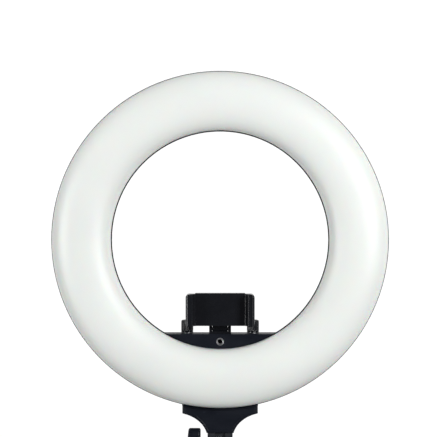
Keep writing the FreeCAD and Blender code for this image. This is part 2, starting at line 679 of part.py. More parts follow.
def make_switch_housing():
    z = BOX_TOP_Z - SWITCH_DROP
    wide, tall = SWITCH_BODY
    bw, bt = SWITCH_BEZEL
    x = SWITCH_X
    depth = 9.0
    body = box(x - wide / 2, x + wide / 2, BOX_BACK_Y - depth, BOX_BACK_Y, z - tall / 2, z + tall / 2)
    steps = rounded_rect(x - bw / 2, x + bw / 2, z - bt / 2, z + bt / 2, 1.0)
    bezel = prism(steps, "xz", BOX_BACK_Y, BOX_BACK_Y + 1.6)
    rw, rt = ROCKER
    well = box(
        x - rw / 2 - ROCKER_SWING_ROOM,
        x + rw / 2 + ROCKER_SWING_ROOM,
        BOX_BACK_Y - 5.0,
        BOX_BACK_Y + 3,
        z - rt / 2 - 0.25,
        z + rt / 2 + 0.25,
    )
    pivot = rod_z(0.8 + RUNNING, z - rt / 2 - 0.9, z + rt / 2 + 0.9, x, BOX_BACK_Y - 1.0)
    tag_y = BOX_BACK_Y - depth
    tags = [box(x + d - 0.4, x + d + 0.4, tag_y - 3.0, tag_y, z - 1.6, z + 1.6) for d in (-4, 0, 4)]
    return cut(fuse([body, bezel] + tags), [well, pivot])


def make_rocker():
    """A shallow V of two faces on a cross pin, resting on its off side."""
    z = BOX_TOP_Z - SWITCH_DROP
    x = SWITCH_X
    y = BOX_BACK_Y - 1.0
    rw, rt = ROCKER
    half = rw / 2
    low, high, valley = y - 1.0, y + 3.6, y + 2.6
    steps = [(x - half, low), (x + half, low), (x + half, high), (x, valley), (x - half, high)]
    body = prism(steps, "xy", z - rt / 2, z + rt / 2)
    rocker = fuse([body, rod_z(0.8, z - rt / 2 - 0.8, z + rt / 2 + 0.8, x, y)])
    rocker.rotate(FreeCAD.Vector(x, y, z), FreeCAD.Vector(0, 0, 1), ROCKER_REST_DEG)
    return rocker


def make_dc_inlet():
    z = BOX_TOP_Z - SWITCH_DROP
    x = -SWITCH_X
    front = BOX_BACK_Y - 11.0
    tube = rod_y(INLET_R, front, BOX_BACK_Y, x, z)
    flange = rod_y(INLET_R + 1.2, BOX_BACK_Y, BOX_BACK_Y + 1.4, x, z)
    bore = rod_y(INLET_BORE_R, front + 1.5, BOX_BACK_Y + 2, x, z)
    pin = rod_y(INLET_PIN_R, front, BOX_BACK_Y - 0.5, x, z)
    tags = [box(x + d - 0.5, x + d + 0.5, front - 2.5, front, z - 1.2, z + 1.2) for d in (-2.2, 2.2)]
    return fuse([cut(fuse([tube, flange]), [bore]), pin] + tags)


def make_inlet_nut():
    z = BOX_TOP_Z - SWITCH_DROP
    x = -SWITCH_X
    y = BOX_BACK_Y - WALL
    return rod_y(INLET_R + 1.3, y - 1.8, y, x, z).cut(rod_y(INLET_R, y - 3, y + 1, x, z))


def make_wiring():
    """Six leads that drop from behind the control board to the driver board's upper edge."""
    r = 0.55
    leads = []
    high_z = RING_Z - RING_INNER_R - 0.5
    low_z = DRIVER_Z + DRIVER_HALF_Z - 2.0
    y_back = DRIVER_POST_Y - BOARD_T - r
    for i in range(6):
        x = (i - 2.5) * 1.6
        up = rod_y(r, POT_FRONT_Y, y_back, x, high_z)
        down = rod_z(r, low_z, high_z, x, y_back)
        leads.append(fuse([up, Part.makeSphere(r, FreeCAD.Vector(x, y_back, high_z)), down]))
    return Part.makeCompound(leads)


# ---------------------------------------------------------------- neck
def neck_outline(shrink):
    """The flared front outline below the ring, moved in by shrink."""
    ring_r = RING_OUTER_R + 0.15 + shrink
    top_half = NECK_TOP_HALF - shrink
    flare = NECK_FLARE_R + shrink
    flare_z = BOTTOM_Z - NECK_FLARE_DROP
    end_z = BOTTOM_Z - NECK_END_DROP + (shrink if shrink else 0.0)
    corner = 1.6
    side_z = RING_Z - math.sqrt(ring_r**2 - top_half**2)
    wing_z = flare_z + math.sqrt(flare**2 - (NECK_FLARE_X - top_half) ** 2)
    waist = NECK_FLARE_X - math.sqrt(flare**2 - (end_z - flare_z) ** 2)
    turn = math.radians(42)
    mid = (NECK_FLARE_X - flare * math.sin(turn), flare_z + flare * math.cos(turn))
    cut_x = top_half - corner
    cut_z = flare_z + math.sqrt(flare**2 - (NECK_FLARE_X - cut_x) ** 2)
    return [
        (-waist, end_z),
        (waist, end_z),
        (mid[0], mid[1], cut_x, cut_z),
        (top_half - corner * 0.25, wing_z + corner * 0.35, top_half, wing_z + corner),
        (top_half, side_z),
        (0, RING_Z - ring_r, -top_half, side_z),
        (-top_half, wing_z + corner),
        (-top_half + corner * 0.25, wing_z + corner * 0.35, -cut_x, cut_z),
        (-mid[0], mid[1], -waist, end_z),
    ]


COVER_TOP_Z = BOTTOM_Z + FLANGE_RISE + 3.0
FLANGE_Y = BACK_Y + 0.15
NECK_SEAM_Y = 0.0


def cover_screws_low():
    return [(s * 28.0, BOTTOM_Z - 5.1) for s in (-1, 1)]


def cover_screws_high():
    return [(s * (FLANGE_HALF - 3.5), BOTTOM_Z + FLANGE_RISE - 4.0) for s in (-1, 1)]


def make_neck_front_cover():
    outside = prism(neck_outline(0.0), "xz", NECK_FRONT_Y, NECK_SEAM_Y - 0.05)
    front_edges = pick_edges(outside, lambda b: b.YMax < NECK_FRONT_Y + 0.01)
    outside = outside.makeChamfer(NECK_EDGE, front_edges)
    inside = prism(neck_outline(NECK_WALL), "xz", NECK_FRONT_Y + NECK_WALL, NECK_SEAM_Y + 1)
    slot_half = COLUMN_HALF + COLUMN_GAP
    low_slot = box(-slot_half, slot_half, NECK_FRONT_Y + 3.8, 1, BOTTOM_Z - 40, BOTTOM_Z - 20)
    shell = cut(outside, [inside, low_slot])
    posts = [rod_y(SCREW_R + 1.0, NECK_FRONT_Y + 1, NECK_SEAM_Y - 0.05, x, z) for x, z in cover_screws_low()]
    holes = [rod_y(SCREW_R + HOLE_PLAY, NECK_FRONT_Y + 3, 1, x, z) for x, z in cover_screws_low()]
    return cut(fuse([shell] + posts), holes)


def make_neck_rear_cover():
    lower = prism(neck_outline(0.0), "xz", NECK_SEAM_Y + 0.05, NECK_BACK_Y)
    overlap_z = RING_Z - math.sqrt((RING_OUTER_R + 1.5) ** 2 - NECK_TOP_HALF**2)
    steps = rounded_rect(-NECK_TOP_HALF, NECK_TOP_HALF, overlap_z - 4.0, COVER_TOP_Z, 4.0)
    upper = prism(steps, "xz", FLANGE_Y, NECK_BACK_Y)
    # the two corners at the overlap are squared so that the sides run straight down
    square = box(-NECK_TOP_HALF, NECK_TOP_HALF, FLANGE_Y, NECK_BACK_Y, overlap_z - 4.0, overlap_z + 8)
    outside = fuse([lower, upper, square])
    back_edges = pick_edges(outside, lambda b: b.YMin > NECK_BACK_Y - 0.01)
    outside = outside.makeChamfer(NECK_EDGE, back_edges)

    inside_low = prism(neck_outline(NECK_WALL), "xz", NECK_SEAM_Y - 1, NECK_BACK_Y - NECK_WALL)
    half = NECK_TOP_HALF - NECK_WALL
    inside_y = NECK_BACK_Y - NECK_WALL
    inside_up = box(-half, half, FLANGE_Y - 1, inside_y, BOTTOM_Z - 4, COVER_TOP_Z - NECK_WALL)
    slot_half = COLUMN_HALF + COLUMN_GAP
    low_slot = box(-slot_half, slot_half, -1, inside_y, BOTTOM_Z - 40, BOTTOM_Z - 20)
    shell = cut(outside, [inside_low, inside_up, low_slot])
    seat = NECK_BACK_Y - SCREW_HEAD_T
    posts = [rod_y(SCREW_R + 1.0, NECK_SEAM_Y + 0.05, NECK_BACK_Y - 1, x, z) for x, z in cover_screws_low()]
    holes = []
    for x, z in cover_screws_low() + cover_screws_high():
        holes.append(rod_y(SCREW_R + HOLE_PLAY, NECK_SEAM_Y - 1, NECK_BACK_Y + 1, x, z))
        holes.append(rod_y(SCREW_HEAD_R + FIT, seat, NECK_BACK_Y + 1, x, z))
    return cut(fuse([shell] + posts), holes)


def make_neck_bracket():
    """One casting: flange behind the ring, column down the neck and two ears."""
    ear_top = BOTTOM_Z - NECK_END_DROP - 0.2
    flange = prism(
        rounded_rect(-FLANGE_HALF, FLANGE_HALF, BOTTOM_Z - 2.3, BOTTOM_Z + FLANGE_RISE, 3.0),
        "xz",
        FLANGE_Y,
        FLANGE_Y + FLANGE_T,
    )
    column = box(-COLUMN_HALF, COLUMN_HALF, -7.0, FLANGE_Y + FLANGE_T, ear_top - 5.0, BOTTOM_Z - 2.6)
    bridge = box(-COLUMN_HALF, COLUMN_HALF, FLANGE_Y, FLANGE_Y + FLANGE_T, BOTTOM_Z - 8, BOTTOM_Z + 4)
    solids = [flange, column, bridge]
    for s in (-1, 1):
        x0, x1 = sorted((s * EAR_IN, s * EAR_OUT))
        solids.append(box(x0, x1, -EAR_R, EAR_R, TILT_Z, ear_top))
        solids.append(rod_x(EAR_R, x0, x1, 0, TILT_Z))
    slot = box(-EAR_IN, EAR_IN, -20, 20, TILT_Z - 20, ear_top - 5.0)
    bore = rod_x(STUD_R + RUNNING, -20, 20, 0, TILT_Z)
    pocket = prism(hexagon(NUT_FLATS + 2 * HOLE_PLAY, 0, TILT_Z), "yz", EAR_OUT - NUT_SINK, EAR_OUT + 1)
    holes = [slot, bore, pocket]
    for x, z in flange_bolts():
        holes.append(rod_y(BOLT_R + HOLE_PLAY, FLANGE_Y - 1, FLANGE_Y + FLANGE_T + 1, x, z))
        sink = BOLT_HEAD_R - BOLT_R
        top = FLANGE_Y + FLANGE_T
        holes.append(cone_y(BOLT_R + HOLE_PLAY, BOLT_HEAD_R + HOLE_PLAY, top - sink, top, x, z))
    for x, z in cover_screws_high():
        holes.append(rod_y(SCREW_R + HOLE_PLAY, FLANGE_Y - 1, FLANGE_Y + FLANGE_T + 1, x, z))
    return cut(fuse(solids), holes)


def make_flange_screws():
    screws = []
    top = FLANGE_Y + FLANGE_T
    sink = BOLT_HEAD_R - BOLT_R
    for x, z in flange_bolts():
        shank = rod_y(BOLT_R, FLANGE_POST_END_Y + 1, top, x, z)
        head = cone_y(BOLT_R, BOLT_HEAD_R, top - sink, top, x, z)
        drive = rod_y(1.2, top - 1.2, top + 1, x, z)
        screws.append(cut(fuse([shank, head]), [drive]))
    return Part.makeCompound(screws)


def make_neck_cover_screws():
    seat = NECK_BACK_Y - SCREW_HEAD_T
    low = [(NECK_FRONT_Y + 4, x, z) for x, z in cover_screws_low()]
    high = [(FLANGE_Y + 0.3, x, z) for x, z in cover_screws_high()]
    screws = [screw_y(SCREW_R, SCREW_HEAD_R, SCREW_HEAD_T, tip, seat, x, z) for tip, x, z in low + high]
    return Part.makeCompound(screws)


# ---------------------------------------------------------------- tilt lock
WASHER_IN = EAR_OUT + HOLE_PLAY
HUB_IN = WASHER_IN + WASHER_T + HOLE_PLAY


def make_tilt_washer():
    ring = rod_x(HANDLE_HUB_R - 0.5, -WASHER_IN - WASHER_T, -WASHER_IN, 0, TILT_Z)
    return ring.cut(rod_x(STUD_R + RUNNING, -30, 0, 0, TILT_Z))


def make_tilt_handle():
    """A T-shaped grip: a round-ended bar with a bowed outer face on a short hub."""
    tip, bow = -HANDLE_TIP, -HANDLE_TIP - HANDLE_CROWN
    low, high = TILT_Z - HANDLE_HALF, TILT_Z + HANDLE_HALF
    steps = [(-HANDLE_IN, low), (-HANDLE_IN, high), (tip, high), (bow, TILT_Z, tip, low)]
    front = prism(steps, "xz", -20, 20)
    half = HANDLE_WIDE / 2
    side = prism(rounded_rect(-half, half, low, high, half - 0.4), "yz", -50, -10)
    bar = front.common(side)
    hub = rod_x(HANDLE_HUB_R, -HANDLE_IN - 2, -HUB_IN, 0, TILT_Z)
    handle = fuse([bar, hub])
    return handle.cut(rod_x(STUD_R, -HANDLE_IN - 8, 0, 0, TILT_Z))


def make_tilt_stud():
    return rod_x(STUD_R, -HANDLE_IN - 8, EAR_OUT + NUT_T - NUT_SINK + 0.5, 0, TILT_Z)


def make_tilt_nut():
    x0 = EAR_OUT - NUT_SINK
    nut = prism(hexagon(NUT_FLATS, 0, TILT_Z), "yz", x0, x0 + NUT_T)
    return nut.cut(rod_x(STUD_R + RUNNING, 0, 30, 0, TILT_Z))


def make_fibre_washers():
    washers = []
    for s in (-1, 1):
        x0, x1 = sorted((s * TONGUE_HALF, s * (TONGUE_HALF + FIBRE_T)))
        ring = rod_x(EAR_R - 2.0, x0, x1, 0, TILT_Z)
        washers.append(ring.cut(rod_x(STUD_R + RUNNING, x0 - 1, x1 + 1, 0, TILT_Z)))
    return Part.makeCompound(washers)


# ---------------------------------------------------------------- stand socket
LOCK_PAD_IN = SOCKET_BORE_R + 0.2
LOCK_PAD_OUT = LOCK_PAD_IN + 2.8
LOCK_KNOB_IN = LOCK_BOSS_END + LOCK_TRAVEL + 0.5


def make_stand_socket():
    tube = rod_z(SOCKET_R, 0, SOCKET_HEIGHT, 0, 0)
    tube = tube.makeChamfer(2.5, pick_edges(tube, lambda b: b.ZMin > SOCKET_HEIGHT - 0.1))
    tube = tube.makeFillet(1.0, pick_edges(tube, lambda b: b.ZMax < 0.1))
    tongue = box(-TONGUE_HALF, TONGUE_HALF, -EAR_R, EAR_R, SOCKET_HEIGHT - 5, TILT_Z)
    eye = rod_x(EAR_R, -TONGUE_HALF, TONGUE_HALF, 0, TILT_Z)
    boss = rod_x(LOCK_BOSS_R, 0, LOCK_BOSS_END, 0, LOCK_Z)
    bore = rod_z(SOCKET_BORE_R, -1, SOCKET_DEPTH, 0, 0)
    stud_hole = rod_x(STUD_R + RUNNING, -20, 20, 0, TILT_Z)
    lock_hole = rod_x(LOCK_SCREW_R + RUNNING, 0, LOCK_BOSS_END + 1, 0, LOCK_Z)
    return cut(fuse([tube, tongue, eye, boss]), [bore, stud_hole, lock_hole])


def make_lock_pad():
    pad = rod_x(LOCK_SCREW_R, LOCK_PAD_IN, LOCK_PAD_OUT, 0, LOCK_Z)
    return pad.cut(rod_x(1.5 + RUNNING, LOCK_PAD_OUT - 1.6, LOCK_PAD_OUT + 1, 0, LOCK_Z))


def make_lock_screw():
    body = rod_x(LOCK_SCREW_R, LOCK_PAD_OUT + HOLE_PLAY, LOCK_KNOB_IN + 9, 0, LOCK_Z)
    nose = rod_x(1.5, LOCK_PAD_OUT - 1.5, LOCK_PAD_OUT + 1, 0, LOCK_Z)
    return fuse([body, nose])


def make_lock_knob():
    """A lobed grip on a narrower collar."""
    collar = rod_x(LOCK_BOSS_R - 1.0, LOCK_KNOB_IN, LOCK_KNOB_IN + 4, 0, LOCK_Z)
    start = LOCK_KNOB_IN + 3.5
    grip = rod_x(LOCK_KNOB_R, start, start + LOCK_KNOB_T, 0, LOCK_Z)
    ends = pick_edges(grip, lambda b: b.XMax - b.XMin < 0.01)
    grip = grip.makeFillet(1.8, ends)
    valleys = []
    for angle in around(LOCK_LOBES, 0.0):
        y = (LOCK_KNOB_R + 1.6) * math.cos(math.radians(angle))
        z = LOCK_Z + (LOCK_KNOB_R + 1.6) * math.sin(math.radians(angle))
        valleys.append(rod_x(3.2, start - 1, start + LOCK_KNOB_T + 1, y, z))
    hole = rod_x(LOCK_SCREW_R, LOCK_KNOB_IN - 1, LOCK_KNOB_IN + 9, 0, LOCK_Z)
    return cut(fuse([collar, cut(grip, valleys)]), [hole])


# ---------------------------------------------------------------- phone holder
def make_holder_fork():
    front, back, low = FORK_Y - FORK_R, FORK_Y + FORK_R, BOX_TOP_Z - FORK_BASE_T
    solids = [box(-FORK_HALF, FORK_HALF, front, back, low, BOX_TOP_Z)]
    for s in (-1, 1):
        x0, x1 = sorted((s * FORK_IN, s * FORK_HALF))
        solids.append(box(x0, x1, front, back, low, HINGE_Z))
        solids.append(rod_x(FORK_R, x0, x1, FORK_Y, HINGE_Z))
    solids.append(box(-FORK_IN, FORK_IN, front, front + FORK_LIP_T, low, BOX_TOP_Z + FORK_LIP_RISE))
    holes = [rod_x(HINGE_PIN_R, -20, 20, FORK_Y, HINGE_Z)]
    for x in fork_screws():
        holes.append(rod_z(SMALL_SCREW_R + HOLE_PLAY, BOX_TOP_Z - 5, BOX_TOP_Z + 1.8, x, FORK_Y))
    return cut(fuse(solids), holes)


def make_fork_screws():
    seat = BOX_TOP_Z - FORK_BASE_T - FORK_PAD_T
    screws = []
    for x in fork_screws():
        head = rod_z(SMALL_HEAD_R, seat - SMALL_HEAD_T, seat, x, FORK_Y)
        screws.append(fuse([head, rod_z(SMALL_SCREW_R, seat, BOX_TOP_Z + 1.6, x, FORK_Y)]))
    return Part.makeCompound(screws)


def make_hinge_pin():
    return rod_x(HINGE_PIN_R, -FORK_HALF + 0.1, FORK_HALF - 0.1, FORK_Y, HINGE_Z)


FIBRE_DISC_Y = ARM_FRONT_Y - FIBRE_T


def make_holder_arm():
    """A hinge barrel with a flat arm that ends in the swivel disc."""
    half = FORK_IN - ARM_GAP
    barrel = rod_x(BARREL_R, -half, half, FORK_Y, HINGE_Z)
    arm = box(-half, half, ARM_FRONT_Y, FORK_Y, HINGE_Z, CLAMP_Z)
    disc = rod_y(SWIVEL_R, ARM_FRONT_Y, FORK_Y, 0, CLAMP_Z)
    pin_hole = rod_x(HINGE_PIN_R + RUNNING, -20, 20, FORK_Y, HINGE_Z)
    screw_hole = rod_y(SWIVEL_SCREW_R + RUNNING, -30, 10, 0, CLAMP_Z)
    return cut(fuse([barrel, arm, disc]), [pin_hole, screw_hole])


def make_swivel_disc():
    ring = rod_y(SWIVEL_R - 0.5, FIBRE_DISC_Y, ARM_FRONT_Y, 0, CLAMP_Z)
    return ring.cut(rod_y(SWIVEL_SCREW_R + RUNNING, -30, 10, 0, CLAMP_Z))


def make_swivel_screw():
    seat = FORK_Y + HOLE_PLAY
    head = rod_y(SWIVEL_HEAD_R, seat, seat + 3.0, 0, CLAMP_Z)
    head = head.makeFillet(0.8, pick_edges(head, lambda b: b.YMin > seat + 2.9))
    shank = rod_y(SWIVEL_SCREW_R, CLAMP_BACK_Y + 0.5, seat, 0, CLAMP_Z)
    socket = prism(hexagon(4.0, 0, CLAMP_Z), "xz", seat + 1.2, seat + 4)
    return cut(fuse([head, shank]), [socket])


def cover_screw_places():
    x = BODY_HALF - CLAMP_SCREW_IN
    z = CLAMP_HALF_HEIGHT - CLAMP_SCREW_IN
    return [(sx * x, CLAMP_Z + sz * z) for sx in (-1, 1) for sz in (-1, 1)]


ROD_Y = (BODY_FRONT_Y + BODY_WALL + CLAMP_BACK_Y - COVER_T) / 2
BAR_X = -BODY_HALF + CLAMP_END_WALL + 3.0  # crossbar's spring side at rest
BAR_T = 2.6
JAW_SCREW_SPREAD = 3.5
GUIDE_X = BODY_HALF - 6.0                  # start of the rod guides


def make_clamp_body():
    low, high = CLAMP_Z - CLAMP_HALF_HEIGHT, CLAMP_Z + CLAMP_HALF_HEIGHT
    cover_y = CLAMP_BACK_Y - COVER_T
    outside = prism(rounded_rect(-BODY_HALF, BODY_HALF, low, high, 1.0), "xz", BODY_FRONT_Y, cover_y)
    inside = box(
        -BODY_HALF + CLAMP_END_WALL,
        BODY_HALF - BODY_WALL,
        BODY_FRONT_Y + BODY_WALL,
        cover_y + 1,
        low + BODY_WALL,
        high - BODY_WALL,
    )
    solids = [outside.cut(inside)]
    holes = []
    for x, z in cover_screw_places():
        solids.append(rod_y(SMALL_SCREW_R + 1.1, BODY_FRONT_Y + 1, cover_y, x, z))
        holes.append(rod_y(SMALL_SCREW_R + HOLE_PLAY, BODY_FRONT_Y + 3, cover_y + 1, x, z))
    for s in (-1, 1):
        z = CLAMP_Z + s * ROD_SPREAD
        guide = box(GUIDE_X, BODY_HALF - 1, BODY_FRONT_Y + 1, cover_y, z - 3.0, z + 3.0)
        solids.append(guide)
        holes.append(rod_x(ROD_R + RUNNING, GUIDE_X - 1, BODY_HALF + 1, ROD_Y, z))
        left_z = CLAMP_Z + s * JAW_SCREW_SPREAD
        holes.append(rod_x(SMALL_SCREW_R + HOLE_PLAY, -BODY_HALF - 1, -BODY_HALF + 4, ROD_Y, left_z))
    return cut(fuse(solids), holes)


def make_clamp_cover():
    low, high = CLAMP_Z - CLAMP_HALF_HEIGHT, CLAMP_Z + CLAMP_HALF_HEIGHT
    cover_y = CLAMP_BACK_Y - COVER_T
    plate = prism(rounded_rect(-BODY_HALF, BODY_HALF, low, high, 1.0), "xz", cover_y, CLAMP_BACK_Y)
    boss = rod_y(SWIVEL_R, cover_y, FIBRE_DISC_Y - HOLE_PLAY, 0, CLAMP_Z)
    holes = [rod_y(SWIVEL_SCREW_R, CLAMP_BACK_Y + 0.5, 0, 0, CLAMP_Z)]
    for x, z in cover_screw_places():
        holes.append(rod_y(SMALL_SCREW_R + HOLE_PLAY, cover_y - 1, CLAMP_BACK_Y + 1, x, z))
    return cut(fuse([plate, boss]), holes)


def make_clamp_cover_screws():
    tip = BODY_FRONT_Y + 4
    return screw_group(cover_screw_places(), SMALL_SCREW_R, SMALL_HEAD_R, SMALL_HEAD_T, tip, CLAMP_BACK_Y)


def make_jaw(side):
    """A C-shaped jaw: side -1 is the fixed one and side 1 the sliding one."""
    play = JAW_PLAY if side > 0 else 0.0
    lip_y = BODY_FRONT_Y - JAW_REACH
    flange_y = BODY_FRONT_Y - JAW_PLAY
    face_y = flange_y - JAW_FLANGE_T
    side_in = JAW_OUT - JAW_WALL
    r = 3.0
    k = r * (1 - math.sqrt(0.5))
    steps = [
        (side * (BODY_HALF + play), CLAMP_BACK_Y),
        (side * (JAW_OUT - r), CLAMP_BACK_Y),
        (side * (JAW_OUT - k), CLAMP_BACK_Y - k, side * JAW_OUT, CLAMP_BACK_Y - r),
        (side * JAW_OUT, lip_y + r),
        (side * (JAW_OUT - k), lip_y + k, side * (JAW_OUT - r), lip_y),
        (side * (JAW_LIP_IN + 1.2), lip_y),
        (side * JAW_LIP_IN, lip_y + 1.2),
        (side * JAW_LIP_IN, lip_y + JAW_LIP_T),
        (side * side_in, lip_y + JAW_LIP_T),
        (side * side_in, face_y),
        (side * (JAW_FLANGE_IN + 0.8), face_y),
        (side * JAW_FLANGE_IN, face_y + 0.8),
        (side * JAW_FLANGE_IN, flange_y),
        (side * (BODY_HALF + play), flange_y),
    ]
    low, high = CLAMP_Z - CLAMP_HALF_HEIGHT, CLAMP_Z + JAW_HALF_HEIGHT
    block = prism(steps, "xy", low, high)
    inner = BODY_HALF - 10
    outline = rounded_rect(*sorted((side * inner, side * JAW_OUT)), low, high, JAW_ROUND)
    jaw = block.common(prism(outline, "xz", lip_y - 5, CLAMP_BACK_Y + 5))
    if side > 0:
        holes = [
            rod_x(ROD_R, BODY_HALF - 1, JAW_OUT - 2.0, ROD_Y, CLAMP_Z + s * ROD_SPREAD) for s in (-1, 1)
        ]
    else:
        holes = []
        for s in (-1, 1):
            z = CLAMP_Z + s * JAW_SCREW_SPREAD
            holes.append(rod_x(SMALL_SCREW_R + HOLE_PLAY, -JAW_OUT - 1, -BODY_HALF + 1, ROD_Y, z))
            holes.append(rod_x(SMALL_HEAD_R + HOLE_PLAY, -JAW_OUT - 1, -JAW_OUT + 4, ROD_Y, z))
    return cut(jaw, holes)


def make_fixed_jaw_screws():
    screws = []
    for s in (-1, 1):
        z = CLAMP_Z + s * JAW_SCREW_SPREAD
        seat = -JAW_OUT + 4
        head = rod_x(SMALL_HEAD_R, seat - SMALL_HEAD_T, seat, ROD_Y, z)
        drive = rod_x(0.9, seat - SMALL_HEAD_T - 1, seat - 0.7, ROD_Y, z)
        shank = rod_x(SMALL_SCREW_R, seat, -BODY_HALF + CLAMP_END_WALL, ROD_Y, z)
        screws.append(cut(fuse([head, shank]), [drive]))
    return Part.makeCompound(screws)


def make_jaw_pad(side):
    """A ribbed rubber strip on the jaw's inner wall."""
    side_in = JAW_OUT - JAW_WALL
    y0 = BODY_FRONT_Y - JAW_REACH + JAW_LIP_T + 0.4
    y1 = BODY_FRONT_Y - JAW_PLAY - JAW_FLANGE_T - 0.4
    x0, x1 = sorted((side * (side_in - PAD_T), side * side_in))
    half = JAW_HALF_HEIGHT - 2.5
    strip = box(x0, x1, y0, y1, CLAMP_Z - half, CLAMP_Z + half)
    grooves = []
    count = 9
    for i in range(count):
        z = CLAMP_Z + (i - (count - 1) / 2) * 2 * half / count
        face = side * (side_in - PAD_T)
        grooves.append(box(face - 0.5, face + 0.5, y0 - 1, y1 + 1, z - 0.35, z + 0.35))
    return cut(strip, grooves)


def make_guide_rods():
    start = BAR_X - BAR_T
    return Part.makeCompound(
        [rod_x(ROD_R, start, JAW_OUT - 2.0, ROD_Y, CLAMP_Z + s * ROD_SPREAD) for s in (-1, 1)]
    )


def make_crossbar():
    half = ROD_SPREAD + 3.0
    bar = box(BAR_X - BAR_T, BAR_X, ROD_Y - 2.4, ROD_Y + 2.4, CLAMP_Z - half, CLAMP_Z + half)
    return cut(bar, [rod_x(ROD_R, BAR_X - 5, BAR_X + 1, ROD_Y, CLAMP_Z + s * ROD_SPREAD) for s in (-1, 1)])


def make_jaw_springs():
    """Two compression springs round the rods, between the crossbar and the guides."""
    start = BAR_X + SPRING_WIRE_R + 0.15
    length = GUIDE_X - SPRING_WIRE_R - 0.15 - start
    springs = []
    for s in (-1, 1):
        helix = Part.makeHelix(length / SPRING_TURNS, length, SPRING_R)
        circle = Part.makeCircle(SPRING_WIRE_R, FreeCAD.Vector(SPRING_R, 0, 0), FreeCAD.Vector(0, 1, 0))
        pipe = Part.Wire(helix).makePipeShell([Part.Wire(circle)], True, True)
        pipe.rotate(FreeCAD.Vector(0, 0, 0), FreeCAD.Vector(0, 1, 0), 90)
        pipe.translate(FreeCAD.Vector(start, ROD_Y, CLAMP_Z + s * ROD_SPREAD))
        springs.append(pipe)
    return Part.makeCompound(springs)


def main():
    os.makedirs("parts", exist_ok=True)
    save("diffuser", make_diffuser())
    save("rear_housing", make_rear_housing())
    save("front_panel", make_front_panel())
    save("tripod_thread_insert", make_thread_insert())
    for quarter in range(QUARTERS):
        save("led_board_%d" % (quarter + 1), make_led_board(quarter))
    save("cool_white_leds", make_leds(0))
    save("warm_white_leds", make_leds(1))
    save("led_board_screws", make_board_screws())
    save(
        "rear_housing_screws",
        screw_group(edge_posts(), SCREW_R, SCREW_HEAD_R, SCREW_HEAD_T, RIM_Y + LEDGE - 2, EDGE_SEAT_Y),
    )
    save(
        "front_panel_screws",
        screw_group(panel_posts(), SCREW_R, SCREW_HEAD_R, SCREW_HEAD_T, RIM_Y + 2, PANEL_SEAT_Y),
    )
    save("driver_board", make_driver_board())
    save("driver_components", make_driver_components())
    save("driver_board_screws", make_driver_screws())
    save("control_board", make_control_board())
    save("brightness_potentiometer", make_potentiometer(-KNOB_X))
    save("colour_potentiometer", make_potentiometer(KNOB_X))
    save("potentiometer_nuts", make_potentiometer_nuts())
    save("brightness_shaft", make_shaft(-KNOB_X))
    save("colour_shaft", make_shaft(KNOB_X))
    save("brightness_knob", make_knob(-KNOB_X))
    save("colour_knob", make_knob(KNOB_X))
    save("switch_housing", make_switch_housing())
    save("power_rocker", make_rocker())
    save("dc_inlet", make_dc_inlet())
    save("dc_inlet_nut", make_inlet_nut())
    save("wiring_harness", make_wiring())
    save("neck_bracket", make_neck_bracket())
    save("neck_front_cover", make_neck_front_cover())
    save("neck_rear_cover", make_neck_rear_cover())
    save("neck_flange_screws", make_flange_screws())
    save("neck_cover_screws", make_neck_cover_screws())
    save("tilt_washer", make_tilt_washer())
    save("tilt_handle", make_tilt_handle())
    save("tilt_stud", make_tilt_stud())
    save("tilt_nut", make_tilt_nut())
    save("tilt_fibre_washers", make_fibre_washers())
    save("stand_socket", make_stand_socket())
    save("socket_lock_pad", make_lock_pad())
    save("socket_lock_screw", make_lock_screw())
    save("socket_lock_knob", make_lock_knob())
    save("holder_fork", make_holder_fork())
    save("holder_fork_screws", make_fork_screws())
    save("holder_hinge_pin", make_hinge_pin())
    save("holder_arm", make_holder_arm())
    save("swivel_friction_disc", make_swivel_disc())
    save("swivel_screw", make_swivel_screw())
    save("clamp_body", make_clamp_body())
    save("clamp_back_cover", make_clamp_cover())
    save("clamp_cover_screws", make_clamp_cover_screws())
    save("fixed_jaw", make_jaw(-1))
    save("fixed_jaw_screws", make_fixed_jaw_screws())
    save("fixed_jaw_pad", make_jaw_pad(-1))
    save("sliding_jaw", make_jaw(1))
    save("sliding_jaw_pad", make_jaw_pad(1))
    save("jaw_guide_rods", make_guide_rods())
    save("jaw_crossbar", make_crossbar())
    save("jaw_springs", make_jaw_springs())


main()
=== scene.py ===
import json
import math

